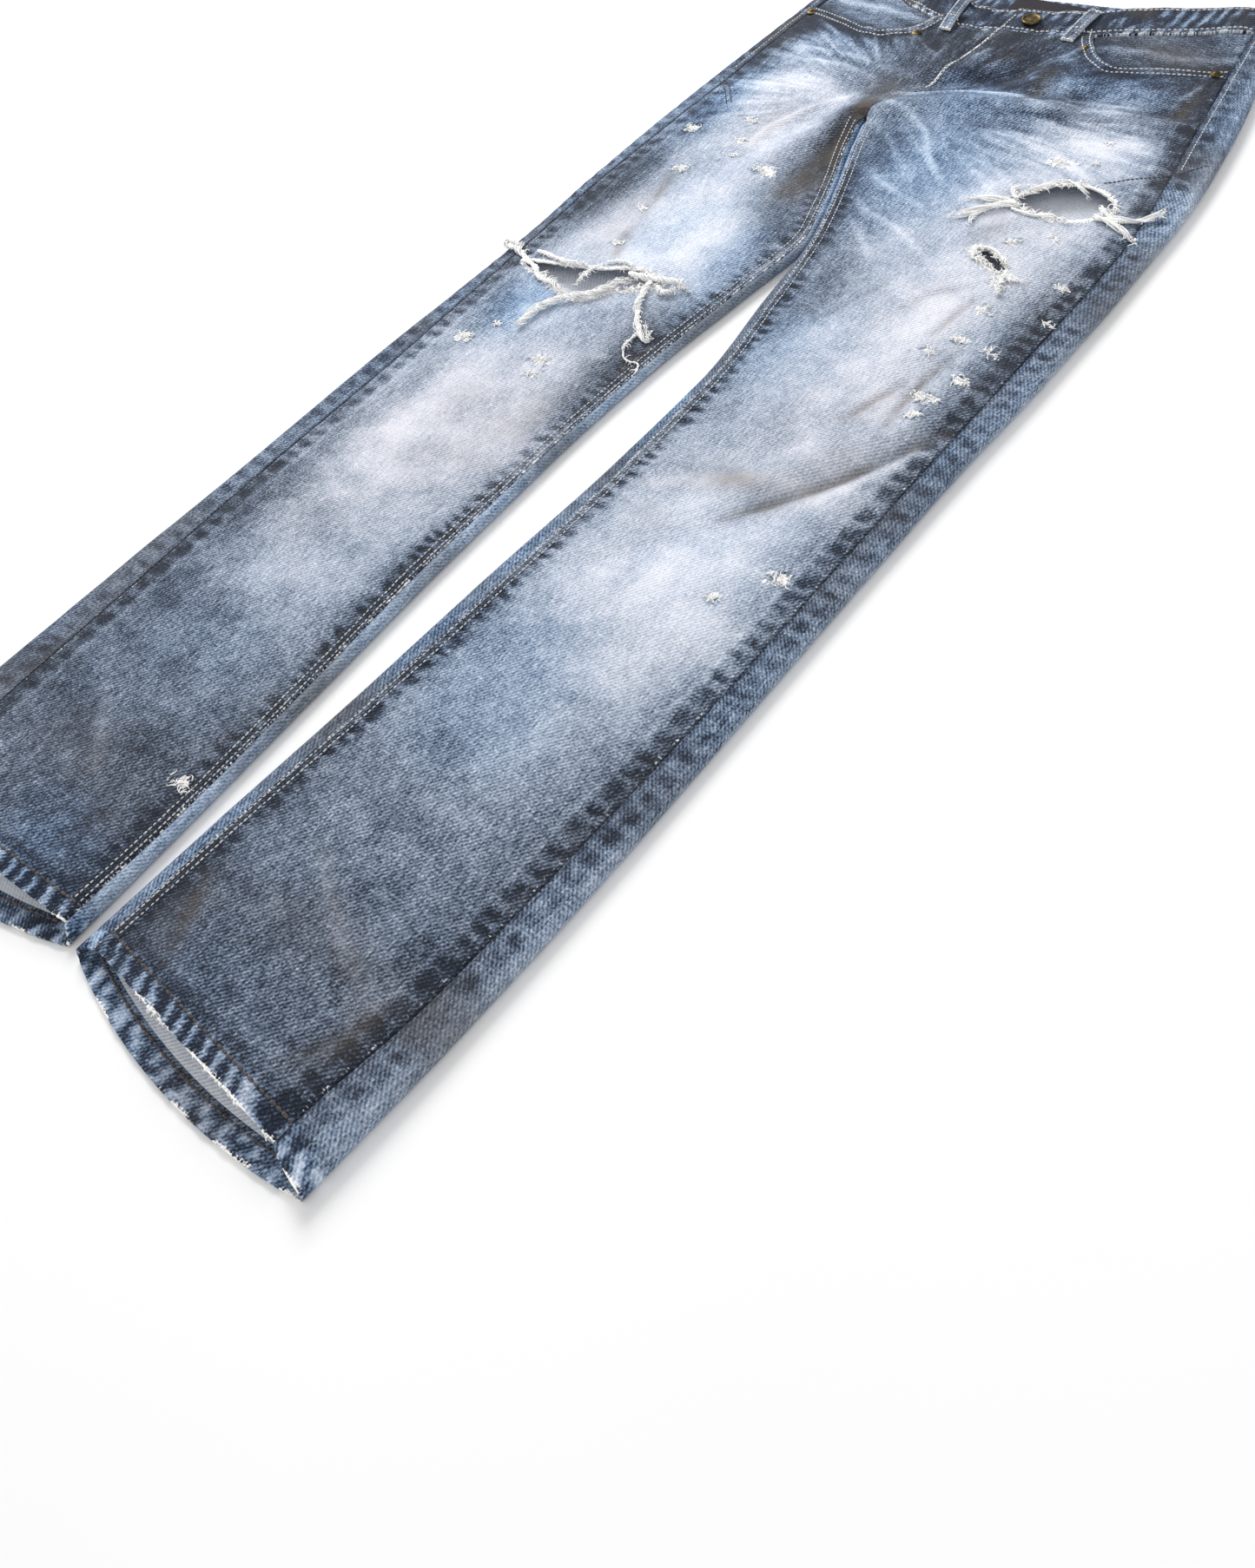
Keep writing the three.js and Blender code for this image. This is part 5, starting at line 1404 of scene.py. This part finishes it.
def fly_line(offset):
    ys = np.arange(84, 196, 4.0)
    upright = np.stack([centre_x(ys) + offset, ys], axis=1)
    hook = [(centre_x(np.array(84.0)) + offset - 2, 76), (-16 + offset * 0.3, 66), (-30, 58)]
    return on_cloth(np.vstack([np.array(hook)[::-1], upright]), STITCH_LIFT)


TACKS = [[(163, 4), (178, 17), (195, 31), (207, 44), (216, 56)], [(-206, 22), (-190, 8), (-172, -14)],
         [(-204, 26), (-187, 11), (-170, -10)]]


def inner_hem_line(leg, from_edge):
    _, inner, share, _, _ = back_section(leg, HEM_Y + from_edge, HEM_CLOTH)
    return inner[(share > 0.12) & (share < 0.88)] + (0, 0, 0.5)


hem_rows = [line(leg, HEM_DEPTH - 2) for leg in legs.values() for line in (hem_line, inner_hem_line)]
inseam_rows = [beside_seam("in", leg, HEM_Y + 15, 4, offset)
               for leg in legs.values() for offset in INSEAM_ROWS]
outseam_rows = [beside_seam("out", leg, 46, OUTSEAM_TOPS[name], -4.5) for name, leg in legs.items()]
waist_rows = [band_line(name, share) for name in legs for share in (1 / 9, 8 / 9)]
pocket_rows = [scoop_line(name, offset) for name in legs for offset in (2.6, 8.6)]
fly_edge_ys = np.arange(68, 196, 4.0)
fly_edge_row = on_cloth(np.stack([centre_x(fly_edge_ys) + 2.4, fly_edge_ys], axis=1), STITCH_LIFT)
loop_rows = [on_cloth(np.stack(loop_places(name, across, np.linspace(0.04, 0.96, 24)), axis=1), STITCH_LIFT)
             for name in legs for across in (-0.3, 0.3)]
tack_rows = [on_cloth(bend_through(line, 24), STITCH_LIFT) for line in TACKS]
seams = {
    "tack": sew("tack_stitches", tack_rows, BROWN_THREAD, 3.2, 2.8, 1.1),
    "inseam": sew("inseam_stitches", inseam_rows, PALE_THREAD, 3.6, 3.0, 1.0),
    "outseam": sew("outseam_stitches", outseam_rows, PALE_THREAD, 3.6, 3.0, 1.1),
    "waist": sew("waistband_stitches", waist_rows, PALE_THREAD, 4.2, 3.5, 1.5),
    "pocket": sew("pocket_stitches", pocket_rows, PALE_THREAD, 3.9, 3.2, 1.3),
    "fly": sew("fly_edge_stitches", [fly_edge_row], PALE_THREAD, 4.0, 3.4, 1.3),
    "fly_curve": sew("fly_curve_stitches", [fly_line(30), fly_line(35)], BROWN_THREAD, 3.8, 3.0, 0.9),
    "loop": sew("belt_loop_stitches", loop_rows, PALE_THREAD, 3.4, 3.0, 1.1),
    "hem": sew("hem_stitches", hem_rows, BROWN_THREAD, 4.4, 4.3, 2.0),
}

# %% [markdown]
# The button and the rivets are stamped and turned, so each is a profile spun round its
# axis. The solids give their places: the middle of each box, at its lowest point.

# %% Button and rivets
SPIN_STEPS = 40
BUTTON_PROFILE = [(0.5, 0), (4.2, 0), (4.2, 1.2), (8.1, 1.5), (8.5, 1.9), (8.5, 2.9), (8.2, 3.4),
                  (7.5, 3.75),
                  (6.9, 3.7), (6.3, 3.2), (5.6, 3.0), (3.0, 3.1), (1.6, 3.3), (0.4, 3.4)]
RIVET_PROFILE = [(0.4, 0), (4.4, 0), (4.5, 0.3), (4.3, 0.6), (3.4, 0.9), (2.6, 1.1), (2.0, 1.5), (1.6, 2.0),
                 (1.0, 2.25), (0.3, 2.3)]


def spun(name, node, profile):
    low, high = (np.array(corner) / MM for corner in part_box(node))
    centre = np.array([(low[0] + high[0]) / 2, (low[1] + high[1]) / 2, low[2]]) - SHIFT
    turn = np.linspace(0, 2 * np.pi, SPIN_STEPS, endpoint=False)
    rings = [np.stack([r * np.cos(turn), r * np.sin(turn), np.full(turn.shape, float(h))], axis=1)
             for r, h in profile]
    points = np.vstack(rings) + centre
    quads = []
    for ring in range(len(profile) - 1):
        a = ring * SPIN_STEPS + np.arange(SPIN_STEPS)
        b = ring * SPIN_STEPS + (np.arange(SPIN_STEPS) + 1) % SPIN_STEPS
        quads.append(np.stack([a, b, b + SPIN_STEPS, a + SPIN_STEPS], axis=1))
    for ring, flip in ((0, True), (len(profile) - 1, False)):
        first = ring * SPIN_STEPS
        for i in range(0, SPIN_STEPS // 2 - 1):
            cap = [first + i, first + i + 1, first + SPIN_STEPS - 2 - i, first + SPIN_STEPS - 1 - i]
            quads.append(np.array([cap[::-1] if flip else cap]))
    piece = add_object(name, quad_mesh(name, points, np.vstack(quads), [BRASS]))
    print(name, "at", np.round(centre, 1))
    return piece


RIVET_NODES = ["rivet_left_inner", "rivet_left_outer", "rivet_right_inner", "rivet_right_outer"]
button = spun("waist_button_brass", "waist_button", BUTTON_PROFILE)
rivets = {node: spun(node + "_brass", node, RIVET_PROFILE) for node in RIVET_NODES}

# %% [markdown]
# The label is a plain satin strip sewn inside the back waistband. It is slightly wavy, as
# a thin strip is between its stitches.

# %% Label
def waist_label():
    low, high = (np.array(corner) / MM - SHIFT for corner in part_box("waist_label"))
    y, x = np.meshgrid(np.linspace(low[1], high[1], 16), np.linspace(low[0], high[0], 50), indexing="ij")
    wave = 0.5 * (cloud(x, y, 16, 70) - 0.2)
    z = high[2] + wave
    tone = tuple(np.zeros(x.shape) for _ in range(4))
    piece = shell("waist_label_satin", np.stack([x, y, z], axis=2), np.stack([x, y, z - 0.7], axis=2), tone,
                  np.stack([x, y], axis=2))
    piece.data.materials[0] = SATIN
    piece.data.materials[1] = SATIN
    return piece


label = waist_label()

# %% [markdown]
# A rip frays into white weft: loose threads, twisted bundles and short cottony curls along
# the edge. Each thread is a thin tube along a bent path that lies on the cloth. They are
# joined into one piece for each rip, because no maker could lift out a single fibre.

# %% Thread tubes
TUBE_SIDES = 4


def thread_mesh(name, threads, material):
    """threads: pairs of a path in drawing millimetres and a radius at each of its points."""
    points, quads, start = [], [], 0
    turn = np.linspace(0, 2 * np.pi, TUBE_SIDES, endpoint=False)
    for path, radius in threads:
        ahead = np.gradient(path, axis=0)
        ahead /= np.linalg.norm(ahead, axis=1)[:, None] + 1e-9
        side = np.cross(ahead, (0.02, 0.03, 1.0))
        side /= np.linalg.norm(side, axis=1)[:, None] + 1e-9
        up = np.cross(side, ahead)
        ring = (side[:, None] * np.cos(turn)[None, :, None] + up[:, None] * np.sin(turn)[None, :, None])
        points.append((path[:, None] + ring * np.asarray(radius)[:, None, None]).reshape(-1, 3))
        rows = len(path)
        a = start + np.arange(rows - 1)[:, None] * TUBE_SIDES + np.arange(TUBE_SIDES)
        b = start + np.arange(rows - 1)[:, None] * TUBE_SIDES + (np.arange(TUBE_SIDES) + 1) % TUBE_SIDES
        quads.append(np.stack([a, a + TUBE_SIDES, b + TUBE_SIDES, b], axis=2).reshape(-1, 4))
        quads.append(np.array([a[0], a[-1, ::-1] + TUBE_SIDES]))    # the two ends
        start += rows * TUBE_SIDES
    piece = add_object(name, quad_mesh(name, np.vstack(points), np.vstack(quads), [material]))
    print(f"{name}: {len(threads)} threads, {2 * sum(len(q) for q in quads)} triangles")
    return piece


def strand(leg, points, width, count, twist, rng):
    """A bundle of threads that follows a few points over the cloth, knotted where it is twisted."""
    spine = bend_through(points, max(12, 7 * len(points)))
    along = np.linspace(0, 1, len(spine))
    wander = np.stack([cloud(along * 60, along, 7, seed) for seed in (81, 82)], axis=1) - 0.5
    spine = spine + 0.22 * twist * wander
    knots = 1 + 0.16 * twist * (cloud(along * 60, along, 8, 83) - 0.5)
    rest = front_height(leg, spine[:, 0], spine[:, 1])
    threads = []
    for _ in range(count):
        phase, turns, spread = rng.uniform(0, 6.3), twist * rng.uniform(0.5, 1.4), rng.uniform(0.2, 1.0)
        splay = 0.45 + 0.5 * along + 0.6 * cloud(along * 60, along, 14, rng.integers(99))
        reach = width / 2 * spread * splay * knots
        swing = 2 * np.pi * turns * along + phase
        normal = np.gradient(spine, axis=0)
        normal = np.stack([-normal[:, 1], normal[:, 0]], axis=1)
        normal /= np.linalg.norm(normal, axis=1)[:, None]
        flat = spine + normal * (reach * np.cos(swing))[:, None]
        lift = rest + 0.8 + width * 0.35 + reach * 0.7 * np.sin(swing)
        end = rng.uniform(0.72, 1.0)
        keep = max(5, round(end * len(spine)))
        path = np.column_stack([flat, lift])[:keep]
        taper = np.interp(along[:keep] / end, [0, 0.8, 1], [0.6, 0.5, 0.16])
        threads.append((path, taper * rng.uniform(0.7, 1.25)))
    for x, y in spine[rng.integers(1, len(spine), 2 * count)] + rng.normal(0, width / 5, (2 * count, 2)):
        threads.append(curl(leg, x, y, rng.uniform(0, 6.3), rng.uniform(2, 6), rng, 0.5 + width * 0.3))
    return threads


def curl(leg, x, y, angle, length, rng, lift=0.5):
    """A short loose thread that starts at a place and bends away from it."""
    t = np.linspace(0, 1, 7)
    bend = angle + rng.uniform(-3.2, 3.2) * t
    step = length / 6
    px = x + np.concatenate([[0], np.cumsum(step * np.cos(bend[1:]))])
    py = y + np.concatenate([[0], np.cumsum(step * np.sin(bend[1:]))])
    pz = front_height(leg, px, py) + lift + rng.uniform(0.2, 1.6) * hump(t)
    return np.column_stack([px, py, pz]), np.interp(t, [0, 1], [0.55, 0.2]) * rng.uniform(0.7, 1.3)


# %% [markdown]
# The bundles follow the photograph: two tufts at the thigh rip, one over the outseam, and
# at the knee a loop past the edge, two ropes over the hole and a long wavy thread.

# %% Fray of the three rips
STRANDS = {
    # points, width, number of threads
    "thigh": [
        ([(122, -56), (112, -60), (104, -70), (92, -84), (84, -88)], 7, 16),
        ([(124, -56), (112, -54), (98, -58), (80, -66)], 5, 9),
        ([(118, -48), (110, -40), (116, -30)], 4, 8),
        ([(178, -44), (192, -38), (204, -32), (213, -20), (216, -8)], 6, 16),
        ([(176, -42), (190, -44), (202, -47), (214, -53)], 5, 12),
        ([(176, -30), (186, -36), (196, -40)], 5, 9),
        ([(120, -60), (138, -60), (150, -54), (162, -58)], 2.4, 6),
        ([(120, -34), (128, -22), (140, -10), (156, -16), (166, -22)], 2.4, 7),
        ([(104, -72), (100, -82), (104, -92)], 4, 7),
    ],
    "thigh_small": [
        ([(120, -118), (128, -112), (140, -114), (152, -122)], 3, 8),
        ([(122, -114), (126, -126), (134, -124)], 3, 7),
        ([(152, -128), (158, -134), (168, -130)], 3, 7),
        ([(154, -132), (156, -142), (160, -154)], 4, 8),
    ],
    "knee": [
        ([(-180, -270), (-194, -262), (-204, -258), (-214, -258), (-217, -253), (-208, -252),
          (-190, -262)], 6, 16),
        ([(-188, -270), (-172, -272), (-160, -282), (-140, -286), (-124, -290)], 5, 16),
        ([(-134, -338), (-132, -322), (-128, -306), (-116, -292), (-104, -282), (-94, -262),
          (-84, -252)], 8, 22),
        ([(-74, -250), (-70, -266), (-62, -282), (-48, -298), (-38, -304), (-38, -298),
          (-52, -290)], 6, 18),
        ([(-48, -298), (-48, -312), (-46, -320)], 3.5, 7),
        ([(-48, -318), (-40, -326), (-28, -326), (-24, -334), (-22, -342)], 1.2, 3),
        ([(-94, -250), (-72, -246), (-54, -240), (-42, -246)], 7, 20),
        ([(-66, -252), (-58, -256), (-50, -246)], 6, 12),
        ([(-124, -254), (-126, -266), (-124, -278)], 3.5, 9),
        ([(-184, -254), (-168, -256), (-150, -258), (-130, -254)], 4, 12),
        ([(-120, -244), (-104, -238), (-90, -246)], 3, 9),
    ],
}
TWISTS = {"thigh": 0.8, "thigh_small": 2.0, "knee": 5.0}
CURL_SPACING = 0.7
rng = np.random.default_rng(21)
frays = {}
for rip, (side, _) in RIPS.items():
    leg = legs[side]
    threads = []
    for points, width, count in STRANDS[rip]:
        threads += strand(leg, points, width, count, TWISTS[rip], rng)
    outline = rip_outline(rip)
    length = np.linalg.norm(np.diff(outline, axis=0), axis=1).sum()
    middle = outline.mean(axis=0)
    for x, y in outline[rng.integers(0, len(outline), round(length / CURL_SPACING))]:
        if cloud(x, y, 11, 17) < 0.36:
            continue
        outward = math.atan2(y - middle[1], x - middle[0]) + rng.choice([0, math.pi], p=[0.6, 0.4])
        threads.append(curl(leg, x, y, outward + rng.uniform(-1.2, 1.2), rng.uniform(2, 9), rng))
    frays[rip] = thread_mesh(f"fray_{rip}_cotton", threads, WHITE_THREAD)

# %% [markdown]
# Small abrasions have broken only the blue warp, and a tuft of white weft stands out of
# each. The worn edges of the hems carry the same short threads.

# %% Small tufts
tufts = {"left": [], "right": []}
for x, y, size in ABRASIONS:
    side = "left" if x > 0 else "right"
    for _ in range(int(3 * size)):
        px, py = rng.normal((x, y), (size * 0.5, size * 0.3))
        weftward = rng.choice([0, math.pi]) + rng.normal(0, 0.9)
        tufts[side].append(curl(legs[side], px, py, weftward, rng.uniform(2, 6), rng, 0.1))
for side, leg in legs.items():
    for share in rng.uniform(0.02, 0.98, 90):
        px, py = (float(v) for v in front_place(leg, np.array(HEM_Y + 0.6), np.array(share)))
        if cloud(px, 0.0, 16, leg["side"] + 2) > 0.52:
            tufts[side].append(curl(leg, px, py, rng.uniform(-2.6, -0.5), rng.uniform(1.5, 3.5), rng, -0.6))
tuft_pieces = {}
for side, threads in tufts.items():
    tuft_pieces[side] = thread_mesh(f"abrasion_tufts_{side}", threads, WHITE_THREAD)

# %% [markdown]
# The stage is a pale floor and soft studio light from large lamps, so that the cloth's own
# creases make the shading. The camera stands where the photograph was taken from.

# %% Floor, light and camera
FLOOR_SIZE = 12.0
FLOOR_DROP = 0.0008
LIGHTS = [
    # name, place in metres, size in metres, power in watts
    ("window_light", (-1.5, 1.1, 1.5), 1.2, 54),
    ("fill_light", (1.5, -1.2, 2.2), 2.4, 18),
]
SKY_STRENGTH = 0.55
CAMERA_PLACE = (497.31, -570.96, 578.23)
CAMERA_AZIMUTH = math.radians(50.083)
CAMERA_ELEVATION = math.radians(54.643)
CAMERA_ROLL = -0.2554
LENS = 28.83
SENSOR = 36.0


def pale_floor():
    """Matt white board."""
    material, shader = new_material("matt_white_board")
    place = add_node(material, "ShaderNodeTexCoord").outputs["Object"]
    _, colour = noise_ramp(material, place, 2.0, 2.0, [(0.2, "#f7f7f7"), (0.8, "#fbfbfb")])
    material.node_tree.links.new(colour, shader.inputs["Base Color"])
    shader.inputs["Roughness"].default_value = 0.9
    half = FLOOR_SIZE / 2
    mesh = bpy.data.meshes.new("floor")
    corners = [(-half, -half, 0), (half, -half, 0), (half, half, 0), (-half, half, 0)]
    mesh.from_pydata(corners, [], [(0, 1, 2, 3)])
    mesh.materials.append(material)
    floor = add_object("floor", mesh)
    floor.location.z = -FLOOR_DROP
    return floor


def area_light(name, place, size, power):
    lamp = bpy.data.lights.new(name, "AREA")
    lamp.size = size
    lamp.energy = power
    holder = add_object(name, lamp)
    holder.location = place
    holder.rotation_euler = (-Vector(place)).to_track_quat("-Z", "Y").to_euler()


floor = pale_floor()
for light in LIGHTS:
    area_light(*light)
world = bpy.context.scene.world or bpy.data.worlds.new("studio")
bpy.context.scene.world = world
world.use_nodes = True
sky = world.node_tree.nodes["Background"].inputs
sky["Color"].default_value = (1, 1, 1, 1)
sky["Strength"].default_value = SKY_STRENGTH
bpy.context.scene.view_settings.view_transform = "Standard"

ahead = Vector((-math.sin(CAMERA_AZIMUTH) * math.cos(CAMERA_ELEVATION),
                math.cos(CAMERA_AZIMUTH) * math.cos(CAMERA_ELEVATION), -math.sin(CAMERA_ELEVATION)))
level = Vector((math.cos(CAMERA_AZIMUTH), math.sin(CAMERA_AZIMUTH), 0))
upright = level.cross(ahead)
right = math.cos(CAMERA_ROLL) * level + math.sin(CAMERA_ROLL) * upright
above = -math.sin(CAMERA_ROLL) * level + math.cos(CAMERA_ROLL) * upright
lens = bpy.data.cameras.new("photo_camera")
lens.lens = LENS
lens.sensor_width = SENSOR
camera = add_object("photo_camera", lens)
turn = Matrix((right, above, -ahead)).transposed().to_4x4()
camera.matrix_world = Matrix.Translation(Vector(CAMERA_PLACE) * MM) @ turn
bpy.context.scene.camera = camera
print("camera at, mm:", CAMERA_PLACE, "lens:", LENS)

# %% [markdown]
# Every piece is tied to the one body of the part, and the solids that it stands for are hidden.


def place_piece(piece, nodes=()):
    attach(piece, BODY)
    if nodes:
        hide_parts(*nodes)


for name in legs:
    place_piece(fronts[name], [f"front_{name}"])
    place_piece(backs[name], [f"back_{name}"])
    place_piece(bands[name], [f"waistband_front_{name}"])
    place_piece(facings[name], [f"pocket_facing_{name}"])
    place_piece(loops[name], [f"belt_loop_{name}"])
    place_piece(tuft_pieces[name])
place_piece(band_back, ["waistband_back"])
place_piece(label, ["waist_label"])
place_piece(button, ["waist_button"])
for node, piece in rivets.items():
    place_piece(piece, [node])
for rip, piece in frays.items():
    place_piece(piece, [f"fray_{rip}"])
for piece in seams.values():
    place_piece(piece)
